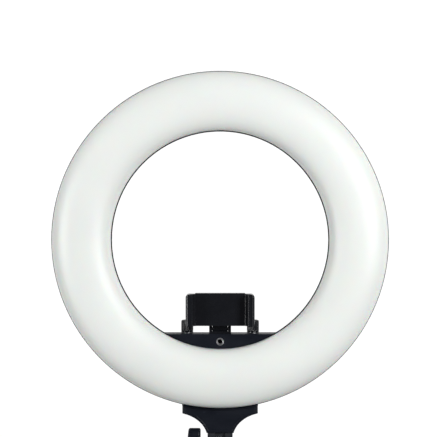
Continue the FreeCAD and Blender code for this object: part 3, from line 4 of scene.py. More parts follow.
import bmesh
import bpy
import numpy as np
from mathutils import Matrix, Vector


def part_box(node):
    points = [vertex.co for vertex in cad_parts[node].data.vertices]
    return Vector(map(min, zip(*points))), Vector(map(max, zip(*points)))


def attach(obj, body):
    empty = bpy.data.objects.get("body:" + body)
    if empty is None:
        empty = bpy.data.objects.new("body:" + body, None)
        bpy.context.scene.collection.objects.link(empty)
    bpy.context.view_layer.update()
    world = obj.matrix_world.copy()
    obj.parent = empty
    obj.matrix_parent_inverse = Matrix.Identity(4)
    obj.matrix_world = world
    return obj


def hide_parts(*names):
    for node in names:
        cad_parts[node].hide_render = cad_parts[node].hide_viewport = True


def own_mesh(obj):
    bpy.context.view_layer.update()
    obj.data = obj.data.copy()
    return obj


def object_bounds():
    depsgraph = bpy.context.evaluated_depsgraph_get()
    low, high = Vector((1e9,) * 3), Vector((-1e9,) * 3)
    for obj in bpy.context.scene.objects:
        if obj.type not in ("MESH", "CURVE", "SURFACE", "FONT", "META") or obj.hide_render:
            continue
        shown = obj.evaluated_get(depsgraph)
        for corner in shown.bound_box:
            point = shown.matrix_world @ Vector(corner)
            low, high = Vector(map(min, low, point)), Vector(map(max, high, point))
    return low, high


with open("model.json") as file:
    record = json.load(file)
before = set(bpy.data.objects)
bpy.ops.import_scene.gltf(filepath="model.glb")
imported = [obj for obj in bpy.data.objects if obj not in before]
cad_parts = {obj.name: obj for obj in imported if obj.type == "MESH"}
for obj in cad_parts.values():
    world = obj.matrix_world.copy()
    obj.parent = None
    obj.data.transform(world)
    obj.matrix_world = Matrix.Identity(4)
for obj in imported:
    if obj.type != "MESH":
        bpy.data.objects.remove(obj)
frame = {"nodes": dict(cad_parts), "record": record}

# Ring light head with a sprung phone clamp on a tilting stand socket.
# Metres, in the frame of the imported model: the stand socket's mouth is the origin,
# +Z is up and the lit face looks along -Y.

CAD_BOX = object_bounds()
MM = 0.001


def low_high(node):
    """A CAD node's lowest and highest corners as numpy arrays."""
    low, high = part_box(node)
    return np.array(low), np.array(high)


# ---------------------------------------------------------------- places read from the frame
DIFFUSER_LOW, DIFFUSER_HIGH = low_high("diffuser")
HOUSING_LOW, HOUSING_HIGH = low_high("rear_housing")
NECK_LOW, NECK_HIGH = low_high("neck_front_cover")
HANDLE_LOW, HANDLE_HIGH = low_high("tilt_handle")
LOCK_LOW, LOCK_HIGH = low_high("socket_lock_knob")
INSERT_LOW, INSERT_HIGH = low_high("tripod_thread_insert")

RING_R = (HOUSING_HIGH[0] - HOUSING_LOW[0]) / 2
RING_Z = (HOUSING_HIGH[2] + HOUSING_LOW[2]) / 2
RIM_Y = low_high("front_panel")[0][1]


# ---------------------------------------------------------------- surfaces
def signed_volume(points, faces):
    """Sum over the faces of a triangle fan's volume with the origin; negative if inside out."""
    total = 0.0
    for corner in range(2, faces.shape[1]):
        a, b, c = points[faces[:, 0]], points[faces[:, corner - 1]], points[faces[:, corner]]
        total += float(np.einsum("ij,ij->i", a, np.cross(b, c)).sum())
    return total


def fan(loop, middle):
    """Triangles from a closed loop of point numbers to one middle point."""
    return np.stack([loop, np.roll(loop, -1), np.full(len(loop), middle)], axis=1)


def closed_surface(points, wrap_u=False):
    """One closed surface from a grid of points [u, v] whose v direction is a closed loop.

    Quads join neighbouring points. The u direction either wraps round as well, or each end is
    closed by a fan to the middle of its last loop. Faces are turned so that they look outwards.
    """
    rows, columns = points.shape[:2]
    number = np.arange(rows * columns).reshape(rows, columns)
    if wrap_u:
        number = np.vstack([number, number[:1]])
    number = np.hstack([number, number[:, :1]])
    quads = np.stack([number[:-1, :-1], number[1:, :-1], number[1:, 1:], number[:-1, 1:]], axis=-1)
    quads = quads.reshape(-1, 4)
    flat = points.reshape(-1, 3)
    if wrap_u:
        if signed_volume(flat, quads) < 0:
            quads = quads[:, ::-1]
        return flat, [quads]
    middles = np.stack([points[0].mean(axis=0), points[-1].mean(axis=0)])
    flat = np.vstack([flat, middles])
    first = fan(number[0, :-1], rows * columns)
    last = fan(number[-1, :-1][::-1], rows * columns + 1)
    fans = np.vstack([first, last])
    if signed_volume(flat, quads) + signed_volume(flat, fans) < 0:
        quads, fans = quads[:, ::-1], fans[:, ::-1]
    return flat, [quads, fans]


def make_piece(name, surfaces, sharp_degrees=35.0, attributes=None):
    """A mesh object of one or more closed surfaces, smooth except where faces meet sharply."""
    points, faces, start = [], [], 0
    for flat, groups in surfaces:
        points.append(flat)
        for group in groups:
            faces.extend((group + start).tolist())
        start += len(flat)
    mesh = bpy.data.meshes.new(name)
    mesh.from_pydata(np.vstack(points).tolist(), [], faces)
    mesh.validate()
    for title, values in (attributes or {}).items():
        layer = mesh.attributes.new(title, "FLOAT", "POINT")
        layer.data.foreach_set("value", np.asarray(values, np.float32))
    finish_shading(mesh, sharp_degrees)
    piece = bpy.data.objects.new(name, mesh)
    bpy.context.scene.collection.objects.link(piece)
    return piece


def finish_shading(mesh, sharp_degrees):
    """Smooth shading with sharp edges above an angle, and normals that all agree."""
    work = bmesh.new()
    work.from_mesh(mesh)
    bmesh.ops.recalc_face_normals(work, faces=work.faces[:])
    work.to_mesh(mesh)
    work.free()
    mesh.polygons.foreach_set("use_smooth", np.ones(len(mesh.polygons), bool))
    mesh.set_sharp_from_angle(angle=math.radians(sharp_degrees))
    mesh.update()


def revolve(radius, height, centre, axis, angles):
    """Points [step, angle] of a profile turned about an axis through a centre.

    radius and height may change with the angle: both are arrays [step, angle] or [step, 1].
    The point lies radius away from the axis, and height along it from zero.
    """
    radius, height = np.broadcast_arrays(radius, height + 0 * angles[None, :])
    across, up = radius * np.cos(angles), radius * np.sin(angles)
    columns = {
        "x": (height, centre[1] + across, centre[2] + up),
        "y": (centre[0] + across, height, centre[2] + up),
        "z": (centre[0] + across, centre[1] + up, height),
    }[axis]
    return np.stack(columns, axis=-1)


def turn(count):
    """Angles of one full turn, without the repeated last one."""
    return np.linspace(0, 2 * math.pi, count, endpoint=False)


def along_profile(corners, spacing):
    """Points along straight runs between corners, about a spacing apart, with corners kept."""
    made = []
    corners = np.asarray(corners, float)
    for a, b in zip(corners[:-1], corners[1:]):
        count = max(1, int(round(np.linalg.norm(b - a) / spacing)))
        share = np.linspace(0, 1, count, endpoint=False)[:, None]
        made.append(a + (b - a) * share)
    made.append(corners[-1:])
    return np.vstack(made)


def rounded(corners, radius, arc_points=5):
    """A closed outline whose corners are cut back by a radius and joined by parabola arcs.

    Each corner's arc starts and ends a radius along its two edges, at most 0.45 of either one.
    """
    corners = np.asarray(corners, float)
    before, after = np.roll(corners, 1, axis=0), np.roll(corners, -1, axis=0)
    radius = np.broadcast_to(np.asarray(radius, float), (len(corners),))
    made = []
    for p, a, b, r in zip(corners, before, after, radius):
        back = min(r, 0.45 * np.linalg.norm(a - p))
        ahead = min(r, 0.45 * np.linalg.norm(b - p))
        start = p + (a - p) / np.linalg.norm(a - p) * back
        end = p + (b - p) / np.linalg.norm(b - p) * ahead
        s = np.linspace(0, 1, arc_points)[:, None]
        made.append((1 - s) ** 2 * start + 2 * s * (1 - s) * p + s**2 * end)
    return np.vstack(made)


def bump_at(value, middle, width):
    """A bell curve of height one about a middle."""
    return np.exp(-(((value - middle) / width) ** 2))


def soft_step(value, low, high):
    """Zero below low, one above high, and a smooth S curve in between."""
    s = np.clip((value - low) / (high - low), 0, 1)
    return s * s * (3 - 2 * s)


# ---------------------------------------------------------------- ring
DIFFUSER_WALL = 2.0 * MM
DIFFUSER_SKIRT = 1.5 * MM     # straight edge ahead of the rim
ARCH_POWER = 2.08             # roundness of the diffuser's section
DIFFUSER_FOOT_Y = RIM_Y + 1.5 * MM


def diffuser_section(inner, outer, crown_y, wall_in, count):
    """Half-loop of the arch: a superellipse from one skirt, over the crown, to the other.

    For an angle t from 0 to pi, r is the middle plus half the width times
    sign(cos t) |cos t|^(2/p), and y rises by |sin t|^(2/p) times the arch's height.
    """
    t = np.linspace(0, math.pi, count)
    middle, half = (inner + outer) / 2, (outer - inner) / 2 - wall_in
    spring_y = RIM_Y - DIFFUSER_SKIRT
    rise = spring_y - (crown_y + wall_in)
    power = 2 / ARCH_POWER
    r = middle - half * np.sign(np.cos(t)) * np.abs(np.cos(t)) ** power
    y = spring_y - rise * np.abs(np.sin(t)) ** power
    return np.stack([r, y], axis=1)


def make_diffuser():
    """The opal cover: the arch's outer face, its foot, and its inner face as one closed loop."""
    outer = (DIFFUSER_HIGH[0] - DIFFUSER_LOW[0]) / 2
    inner = bore_radius("diffuser")
    crown_y = DIFFUSER_LOW[1]
    skin = diffuser_section(inner, outer, crown_y, 0.0, 61)
    hollow = diffuser_section(inner, outer, crown_y, DIFFUSER_WALL, 41)[::-1]
    foot = DIFFUSER_FOOT_Y
    loop = np.vstack(
        [
            along_profile([(inner, foot), skin[0]], 0.8 * MM)[:-1],
            skin,
            along_profile([skin[-1], (outer, foot), (outer - DIFFUSER_WALL, foot)], 0.8 * MM)[1:-1],
            along_profile([(outer - DIFFUSER_WALL, foot), hollow[0]], 0.8 * MM)[:-1],
            hollow,
            along_profile([hollow[-1], (inner + DIFFUSER_WALL, foot)], 0.8 * MM)[1:],
        ]
    )
    grid = revolve(loop[:, :1], loop[:, 1:], (0, 0, RING_Z), "y", turn(320))
    piece = make_piece("diffuser_cover", [closed_surface(grid, wrap_u=True)])
    place(piece, "head", "opal_diffuser", "diffuser")


def bore_radius(node):
    """Smallest distance of a node's points from the ring's axis."""
    mesh = frame["nodes"][node].data
    co = np.zeros(len(mesh.vertices) * 3, np.float32)
    mesh.vertices.foreach_get("co", co)
    co = co.reshape(-1, 3)
    return float(np.hypot(co[:, 0], co[:, 2] - RING_Z).min())


# ---------------------------------------------------------------- knobs and thread
KNOB_FLUTES = 20


def make_dial(name, node, body):
    """A fluted pointer knob, turned about Z.

    The profile runs from the top's middle, over a rounded rim and down the side, into the
    skirt and up round the shaft. Outside, the radius loses a small |cos| flute all round.
    """
    low, high = low_high(node)
    centre = (low + high) / 2
    r = (high[0] - low[0]) / 2
    bottom, top = low[2], high[2]
    corners = [
        (0.3 * MM, top - 0.35 * MM),
        (r - 2.4 * MM, top - 0.35 * MM),
        (r - 1.7 * MM, top),
        (r - 0.7 * MM, top - 0.25 * MM),
        (r - 0.12 * MM, top - 1.1 * MM),
        (r, top - 2.0 * MM),
        (r, bottom + 1.9 * MM),
        (r - 0.25 * MM, bottom + 1.5 * MM),
        (r, bottom + 1.1 * MM),
        (r, bottom + 0.3 * MM),
        (r - 0.3 * MM, bottom),
        (r - 1.0 * MM, bottom),
        (r - 1.0 * MM, bottom + 2.7 * MM),
        (3.0 * MM, bottom + 2.7 * MM),
        (3.0 * MM, top - 3.0 * MM),
        (0.3 * MM, top - 3.0 * MM),
    ]
    steps = along_profile(corners, 0.45 * MM)
    angles = turn(240)
    radius = np.repeat(steps[:, :1], len(angles), axis=1)
    height = np.repeat(steps[:, 1:], len(angles), axis=1)
    side = soft_step(steps[:, 1:], bottom + 1.9 * MM, bottom + 2.6 * MM)
    side = side * (1 - soft_step(steps[:, 1:], top - 2.2 * MM, top - 1.2 * MM)) * (steps[:, :1] > r - 0.2 * MM)
    radius = radius - 0.32 * MM * side * (1 - np.abs(np.cos(angles * KNOB_FLUTES / 2)) ** 0.8)
    facing = np.abs(np.mod(angles + math.pi / 2 + math.pi, 2 * math.pi) - math.pi)
    on_top = steps[:, 1:] > top - 2.4 * MM
    line = bump_at(facing * radius, 0, 0.32 * MM) * on_top * (radius > 2.0 * MM)
    height = height - 0.3 * MM * line
    points = revolve(radius, height, centre, "z", angles)
    piece = make_piece(name, [closed_surface(points)], 40)
    place(piece, body, "black_gloss", node)


THREAD_PITCH = 1.27 * MM      # 1/4-20
THREAD_MINOR_R, THREAD_MOUTH_R = 2.55 * MM, 3.75 * MM
THREAD_DEPTH = 0.55 * MM


def make_thread_insert():
    """The tripod insert: a plated sleeve whose bore carries a helical 60 degree thread.

    The bore's radius is the minor radius plus the thread's depth times a triangle wave of
    (distance along Y / pitch - angle / full turn); it fades out at the flared mouth.
    """
    low, high = INSERT_LOW, INSERT_HIGH
    centre = (low + high) / 2
    outer = (high[0] - low[0]) / 2
    minor, mouth = THREAD_MINOR_R, THREAD_MOUTH_R
    start, end = low[1], high[1]
    flare = mouth - minor
    wall = np.linspace(start + flare, end, 96)
    corners = np.vstack(
        [
            along_profile([(mouth, start), (minor, start + flare)], 0.2 * MM)[:-1],
            np.stack([np.full_like(wall, minor), wall], axis=1),
            along_profile([(minor, end), (outer, end)], 0.5 * MM)[1:-1],
            along_profile([(outer, end), (outer, start)], 0.5 * MM)[:-1],
            np.array([(outer, start)]),
        ]
    )
    angles = turn(96)
    y = corners[:, 1:]
    wave = np.abs(2 * np.mod(y / THREAD_PITCH - angles[None, :] / (2 * math.pi), 1) - 1)
    inside = (corners[:, :1] < minor + 0.6 * flare) * 1.0
    fade = soft_step(y, start + 0.5 * flare, start + 1.3 * flare) * (1 - soft_step(y, end - 0.6 * MM, end))
    radius = corners[:, :1] + THREAD_DEPTH * wave * inside * fade
    knurl = (corners[:, :1] > outer - 0.01 * MM) * (y > start + 0.6 * MM) * (y < end - 0.3 * MM)
    radius = radius - 0.12 * MM * knurl * np.abs(np.sin(angles * 24))
    points = revolve(radius, y, centre, "y", angles)
    piece = make_piece("tripod_thread_bush", [closed_surface(points, wrap_u=True)], 30)
    place(piece, "head", "bright_steel", "tripod_thread_insert")


# ---------------------------------------------------------------- neck and handle
NECK_EDGE = 2.2 * MM          # bevel along the cover's outline
NECK_WALL = 2.2 * MM
SEAM_GROOVE = 0.35 * MM
FLARE_R = 30.0 * MM           # quarter circle between the waist and the wings
FLARE_X = 43.0 * MM           # its centre, out from the middle
FLARE_DROP = 9.0 * MM         # its centre, below the cover's lower end
SLOT_HALF = 12.0 * MM         # half the opening at the cover's foot
SLOT_Y = -7.3 * MM            # where the skirt stops over that opening
RING_GAP = 0.15 * MM          # between the cover and the ring


def neck_half_width(z):
    """Half the cover's width at a height: a quarter circle flares from the waist to the wings."""
    rise = np.clip(z - (NECK_LOW[2] - FLARE_DROP), 0, FLARE_R - 0.02 * MM)
    half = FLARE_X - np.sqrt(FLARE_R**2 - rise**2)
    return np.minimum(half, NECK_HIGH[0])


def make_neck_cover():
    """The neck's front cover, a tray whose face is a grid across and up the outline.

    Across, x is a share of the outline's half width; up, the rows bend to follow the ring.
    The face falls back by the bevel minus the distance to the nearest edge, and a narrow
    groove runs just inside the bevel. A skirt runs back to the seam, and Solidify gives the wall.
    """
    ring_r = RING_R + RING_GAP
    half_top = NECK_HIGH[0]
    side_z = RING_Z - math.sqrt(ring_r**2 - half_top**2)
    front, seam = NECK_LOW[1], NECK_HIGH[1]
    share = np.sin(np.linspace(-1, 1, 121) * math.pi / 2)
    up = 0.5 - 0.5 * np.cos(np.linspace(0, 1, 91) * math.pi)
    row_z = NECK_LOW[2] + up * (side_z - NECK_LOW[2])
    half = neck_half_width(row_z)[:, None]
    x = share[None, :] * half
    ring_z = RING_Z - np.sqrt(ring_r**2 - x**2)
    z = row_z[:, None] + (ring_z - side_z) * (up[:, None] ** 2)
    slope = np.gradient(half[:, 0], row_z)[:, None]
    from_side = (half - np.abs(x)) / np.sqrt(1 + slope**2)
    from_top = ring_z - z
    from_end = z - NECK_LOW[2]
    edge = np.minimum(np.minimum(from_side, from_top), from_end)
    fall = NECK_EDGE * 0.5 * np.clip(1 - edge / NECK_EDGE, 0, 1) ** 1.6
    groove = SEAM_GROOVE * bump_at(edge, NECK_EDGE + 0.7 * MM, 0.35 * MM)
    y = front + fall + groove
    grid = np.stack([x, y, z], axis=-1)
    rows, columns = x.shape
    number = np.arange(rows * columns).reshape(rows, columns)
    quads = np.stack([number[:-1, :-1], number[:-1, 1:], number[1:, 1:], number[1:, :-1]], axis=-1)
    rim = np.concatenate([number[0, :-1], number[:-1, -1], number[-1, :0:-1], number[:0:-1, 0]])
    rim_points = grid.reshape(-1, 3)[rim].copy()
    at_slot = (np.abs(rim_points[:, 0]) < SLOT_HALF) & (rim_points[:, 2] < NECK_LOW[2] + 0.05 * MM)
    rim_points[:, 1] = np.where(at_slot, SLOT_Y, seam)
    skirt = np.arange(len(rim)) + rows * columns
    sides = np.stack([rim, np.roll(rim, -1), np.roll(skirt, -1), skirt], axis=1)[:, ::-1]
    mesh = bpy.data.meshes.new("neck_cover_shell")
    points = np.vstack([grid.reshape(-1, 3), rim_points])
    mesh.from_pydata(points.tolist(), [], quads.reshape(-1, 4).tolist() + sides.tolist())
    layer = mesh.attributes.new("edge_wear", "FLOAT", "POINT")
    wear = np.concatenate([bump_at(edge.ravel(), 0, 0.9 * MM), np.zeros(len(rim))])
    layer.data.foreach_set("value", wear.astype(np.float32))
    finish_shading(mesh, 40)
    if mesh.polygons[0].normal.y > 0:
        mesh.flip_normals()
    piece = bpy.data.objects.new("neck_cover_shell", mesh)
    bpy.context.scene.collection.objects.link(piece)
    wall = piece.modifiers.new("wall", "SOLIDIFY")
    wall.thickness = NECK_WALL
    wall.offset = -1
    place(piece, "head", "black_shell", "neck_front_cover")


def superellipse(across_half, up_half, power, angles):
    """Two coordinates of |a/across|^p + |b/up|^p = 1 at each angle."""
    c, s = np.cos(angles), np.sin(angles)
    a = across_half * np.sign(c) * np.abs(c) ** (2 / power)
    b = up_half * np.sign(s) * np.abs(s) ** (2 / power)
    return a, b


GRIP_RIB_PITCH = 3.2 * MM


def make_tilt_grip():
    """The T handle: superellipse sections stacked along Z, on a turned hub.

    The section's width in Y rounds off at both ends as a half circle, its outer face bows
    out by a parabola, and a parting groove runs round it where the two moulded halves meet.
    """
    low, high = HANDLE_LOW, HANDLE_HIGH
    middle_z, half_z = (low[2] + high[2]) / 2, (high[2] - low[2]) / 2
    inner_x, bow, crown = -20.9 * MM, low[0], 1.8 * MM
    half_y = 7.5 * MM
    share = np.sin(np.linspace(-1, 1, 141) * math.pi / 2) * 0.9995
    from_mid = share * half_z
    past = np.clip(np.abs(from_mid) - (half_z - half_y), 0, None)
    width = np.sqrt(np.clip(half_y**2 - past**2, 0, None))[:, None]
    outer_x = bow + crown * share**2
    edge = 1.2 * MM * np.clip(1 - (half_z - np.abs(from_mid)) / (2.4 * MM), 0, 1) ** 2
    x_mid = ((inner_x + outer_x) / 2)[:, None]
    x_half = (np.abs(inner_x - outer_x) / 2 - edge)[:, None]
    angles = turn(128)[None, :]
    a, b = superellipse(x_half, width, 5.0, angles)
    x = x_mid + a
    groove = 1 - 0.055 * bump_at(x, -25.4 * MM, 0.38 * MM)
    rib = bump_at(np.mod(from_mid[:, None] + GRIP_RIB_PITCH / 2, GRIP_RIB_PITCH), GRIP_RIB_PITCH / 2, 0.5 * MM)
    ribbed = np.abs(from_mid[:, None]) < half_z * 0.86
    grip = 1 - 0.05 * rib * ribbed * soft_step(-x, 27.0 * MM, 30.0 * MM)
    y = b * groove * grip
    z = np.broadcast_to(middle_z + from_mid[:, None], x.shape)
    bar = closed_surface(np.stack([x, y, z], axis=-1))
    hub_r, bore_r = 9.0 * MM, 4.0 * MM
    hub_in, hub_out = high[0], inner_x - 1.5 * MM
    profile = rounded([(bore_r, hub_in), (hub_r, hub_in), (hub_r, hub_out), (bore_r, hub_out)], 0.5 * MM)
    loop = along_profile(np.vstack([profile, profile[:1]]), 1.0 * MM)[:-1]
    hub_angles = turn(96)
    waist = 1 - 0.02 * np.abs(np.cos(hub_angles * 6))[None, :] * (loop[:, :1] > 8 * MM)
    turned = revolve(loop[:, :1] * waist, loop[:, 1:], (0, 0, middle_z), "x", hub_angles)
    hub = closed_surface(turned, wrap_u=True)
    near_face = bump_at(np.abs(a / x_half), 1, 0.12)
    near_side = bump_at(np.abs(b / np.maximum(width, 1e-6)), 1, 0.2)
    ends_and_hub = np.zeros(2 + len(hub[0]))
    worn = np.concatenate([near_face.ravel() * near_side.ravel(), ends_and_hub])
    piece = make_piece("tilt_grip", [bar, hub], 38, {"edge_wear": worn})
    place(piece, "tilt_handle", "black_shell", "tilt_handle")


LOCK_LOBES = 8


def make_lock_grip():
    """The stand lock's lobed knob, turned about X.

    The radius loses a rounded valley between each of eight lobes, and both rims are rounded
    by a quarter ellipse. The outer end is dished with a raised button in its middle.
    """
    low, high = LOCK_LOW, LOCK_HIGH
    centre = (low + high) / 2
    r = (high[2] - low[2]) / 2
    inner, outer = low[0], high[0]
    grip_in = inner + 3.5 * MM
    collar = 7.0 * MM
    corners = [
        (0.4 * MM, outer - 0.2 * MM),
        (3.6 * MM, outer - 0.2 * MM),
        (4.2 * MM, outer - 1.1 * MM),
        (r - 3.6 * MM, outer - 1.1 * MM),
        (r - 2.9 * MM, outer - 0.2 * MM),
        (r - 1.9 * MM, outer),
        (r - 0.8 * MM, outer - 0.45 * MM),
        (r - 0.2 * MM, outer - 1.2 * MM),
        (r, outer - 2.2 * MM),
        (r, grip_in + 2.0 * MM),
        (r - 0.3 * MM, grip_in + 0.9 * MM),
        (r - 1.1 * MM, grip_in + 0.2 * MM),
        (r - 2.4 * MM, grip_in),
        (collar, grip_in),
        (collar, inner + 0.4 * MM),
        (collar - 0.4 * MM, inner),
        (3.05 * MM, inner),
        (3.05 * MM, inner + 9 * MM),
        (0.4 * MM, inner + 9 * MM),
    ]
    steps = along_profile(corners, 0.5 * MM)
    angles = turn(256)
    weight = soft_step(steps[:, :1], 8.0 * MM, 10.5 * MM)
    valley = (0.5 + 0.5 * np.cos(angles * LOCK_LOBES)) ** 1.6
    ribs = 0.12 * MM * np.abs(np.cos(angles * 48)) * (1 - valley) ** 4
    radius = steps[:, :1] - weight * (1.75 * MM * valley[None, :] + ribs[None, :])
    points = revolve(radius, steps[:, 1:], centre, "x", angles)
    piece = make_piece("lock_grip", [closed_surface(points)], 38)
    place(piece, "lock_knob", "black_shell", "socket_lock_knob")


# ---------------------------------------------------------------- phone clamp's soft and sprung parts
def make_jaw_rubber(name, node, body):
    """A rubber strip stacked along Z from superellipse sections in X and Y.

    Its gripping face loses a fine cosine of the height, which leaves rounded ribs.
    """
    low, high = low_high(node)
    middle, half = (low + high) / 2, (high - low) / 2
    grips_left = middle[0] > 0
    up = np.linspace(-1, 1, 181)[:, None]
    angles = turn(48)[None, :]
    end = np.clip((np.abs(up) * half[2] - (half[2] - 0.5 * MM)) / (0.5 * MM), 0, 1)
    shrink = 1 - 0.25 * (1 - np.sqrt(np.clip(1 - end**2, 0, 1)))
    a, b = superellipse(half[0] * shrink, half[1] * (1 - 0.1 * (1 - shrink)), 6.0, angles)
    face = -a if grips_left else a
    rib = 0.38 * MM * soft_step(face, 0.2 * half[0], half[0]) * (0.5 - 0.5 * np.cos(up * half[2] / (0.55 * MM)))
    x = middle[0] + a + (rib if grips_left else -rib)
    points = np.stack([x, middle[1] + b, np.broadcast_to(middle[2] + up * half[2], x.shape)], axis=-1)
    piece = make_piece(name, [closed_surface(points)], 50)
    place(piece, body, "rubber", node)


SPRING_TURNS = 14
SPRING_STATIONS = 26          # points on each turn


def make_springs():
    """Two compression springs round the guide rods, as tubes along a helix.

    X grows evenly with the angle, and Y and Z go round the coil's circle. A small circle
    is carried square to the helix.
    """
    low, high = low_high("jaw_springs")
    wire = 0.3 * MM
    coil = (high[1] - low[1]) / 2 - wire
    middle_y = (low[1] + high[1]) / 2
    share = np.linspace(0, 1, SPRING_TURNS * SPRING_STATIONS + 1)
    first, last = low[0] + wire, high[0] - wire
    angle = share * SPRING_TURNS * 2 * math.pi
    surfaces = []
    for centre_z in (low[2] + coil + wire, high[2] - coil - wire):
        x = first + share * (last - first)
        line = np.stack([x, middle_y + coil * np.cos(angle), centre_z + coil * np.sin(angle)], axis=1)
        out = np.stack([np.zeros_like(angle), np.cos(angle), np.sin(angle)], axis=1)
        ahead = np.gradient(line, axis=0)
        ahead /= np.linalg.norm(ahead, axis=1)[:, None]
        side = np.cross(ahead, out)
        section = turn(8)
        tube = line[:, None, :] + wire * (
            np.cos(section)[None, :, None] * out[:, None, :] + np.sin(section)[None, :, None] * side[:, None, :]
        )
        surfaces.append(closed_surface(tube))
    piece = make_piece("jaw_return_springs", surfaces, 60)
    place(piece, "phone_clamp", "bright_steel", "jaw_springs")
    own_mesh(piece)


# ---------------------------------------------------------------- CAD shapes with broken edges
def break_edges(node, width, segments=2, sharp_degrees=32.0):
    """A copy of a CAD node with its sharp edges rounded by a Bevel modifier.

    The copy's loose triangles are merged, and flat regions are joined into whole faces first,
    so that the bevel runs only along real edges.
    """
    source = frame["nodes"][node]
    mesh = source.data.copy()
    mesh.name = node + "_moulding"
    work = bmesh.new()
    work.from_mesh(mesh)
    bmesh.ops.remove_doubles(work, verts=work.verts[:], dist=0.004 * MM)
    bmesh.ops.dissolve_limit(work, angle_limit=math.radians(0.6), verts=work.verts[:], edges=work.edges[:])
    work.to_mesh(mesh)
    work.free()
    mesh.polygons.foreach_set("use_smooth", np.ones(len(mesh.polygons), bool))
    mesh.set_sharp_from_angle(angle=math.radians(sharp_degrees))
    piece = bpy.data.objects.new(node + "_moulding", mesh)
    bpy.context.scene.collection.objects.link(piece)
    bevel = piece.modifiers.new("edges", "BEVEL")
    bevel.width = width
    bevel.segments = segments
    bevel.limit_method = "ANGLE"
    bevel.angle_limit = math.radians(sharp_degrees)
    bevel.harden_normals = True
    place(piece, BODY_OF[node], SLOT_OF[node], node)


# ---------------------------------------------------------------- finishes
class Finish:
    """One material's nodes. Each method adds nodes and gives back an output."""

    def __init__(self, name):
        self.material = bpy.data.materials.new(name)
        self.material.use_nodes = True
        self.tree = self.material.node_tree
        self.shader = self.tree.nodes["Principled BSDF"]
        self.here = self.tree.nodes.new("ShaderNodeTexCoord").outputs["Object"]

    def feed(self, socket, value):
        """Links an output to a socket, or sets a plain value on it."""
        if isinstance(value, bpy.types.NodeSocket):
            self.tree.links.new(value, socket)
        else:
            socket.default_value = value

    def placed(self, scale=(1, 1, 1), turned=(0, 0, 0)):
        """Object coordinates, stretched and turned."""
        made = self.tree.nodes.new("ShaderNodeMapping")
        self.feed(made.inputs["Vector"], self.here)
        made.inputs["Scale"].default_value = scale
        made.inputs["Rotation"].default_value = turned
        return made.outputs["Vector"]

    def noise(self, scale, detail=3.0, rough=0.55, at=None):
        """Fractal noise with so many features to the metre."""
        made = self.tree.nodes.new("ShaderNodeTexNoise")
        self.feed(made.inputs["Vector"], at or self.here)
        made.inputs["Scale"].default_value = scale
        made.inputs["Detail"].default_value = detail
        made.inputs["Roughness"].default_value = rough
        return made.outputs["Fac"]

    def cells(self, scale, at=None, feature="F1"):
        """Distance within Voronoi cells."""
        made = self.tree.nodes.new("ShaderNodeTexVoronoi")
        made.feature = feature
        self.feed(made.inputs["Vector"], at or self.here)
        made.inputs["Scale"].default_value = scale
        return made.outputs["Distance"]

    def attribute(self, title):
        """A value stored on the mesh, zero where it isn't there."""
        made = self.tree.nodes.new("ShaderNodeAttribute")
        made.attribute_name = title
        return made.outputs["Fac"]

    def level(self, value, low, high, to_low=0.0, to_high=1.0):
        """Maps a range onto another with a smooth S curve."""
        made = self.tree.nodes.new("ShaderNodeMapRange")
        made.interpolation_type = "SMOOTHSTEP"
        self.feed(made.inputs["Value"], value)
        for title, number in (("From Min", low), ("From Max", high), ("To Min", to_low), ("To Max", to_high)):
            made.inputs[title].default_value = number
        return made.outputs["Result"]

    def combine(self, kind, a, b):
        """One arithmetic step."""
        made = self.tree.nodes.new("ShaderNodeMath")
        made.operation = kind
        self.feed(made.inputs[0], a)
        self.feed(made.inputs[1], b)
        return made.outputs[0]

    def blend(self, share, a, b):
        """A colour between two."""
        made = self.tree.nodes.new("ShaderNodeMix")
        made.data_type = "RGBA"
        self.feed(made.inputs[0], share)
        for socket, value in ((made.inputs[6], a), (made.inputs[7], b)):
            self.feed(socket, (*value, 1.0) if isinstance(value, tuple) else value)
        return made.outputs[2]

    def bump(self, height, strength, distance, under=None):
        """Surface relief from a height."""
        made = self.tree.nodes.new("ShaderNodeBump")
        made.inputs["Strength"].default_value = strength
        made.inputs["Distance"].default_value = distance
        self.feed(made.inputs["Height"], height)
        if under is not None:
            self.feed(made.inputs["Normal"], under)
        return made.outputs["Normal"]

    def scuffs(self, scale, amount):
        """Fine scratches: noise drawn out along three directions, kept where it peaks."""
        found = None
        ways = (((0.3, 0.5, 0.2), (1, 18, 1)), ((0.9, 0.2, 1.1), (16, 1, 1)), ((0.1, 1.3, 0.6), (1, 1, 20)))
        for turned, stretch in ways:
            drawn = self.noise(scale, 2.0, 0.5, self.placed(stretch, turned))
            line = self.level(drawn, 1 - amount, 1.02 - amount * 0.6)
            found = line if found is None else self.combine("MAXIMUM", found, line)
        return found

    def paint(self, colour, roughness, normal, **steady):
        """Feeds the shader; steady values are set on its own sockets."""
        self.feed(self.shader.inputs["Base Color"], colour)
        self.feed(self.shader.inputs["Roughness"], roughness)
        self.feed(self.shader.inputs["Normal"], normal)
        for title, value in steady.items():
            self.shader.inputs[title.replace("_", " ")].default_value = value
        return self.material


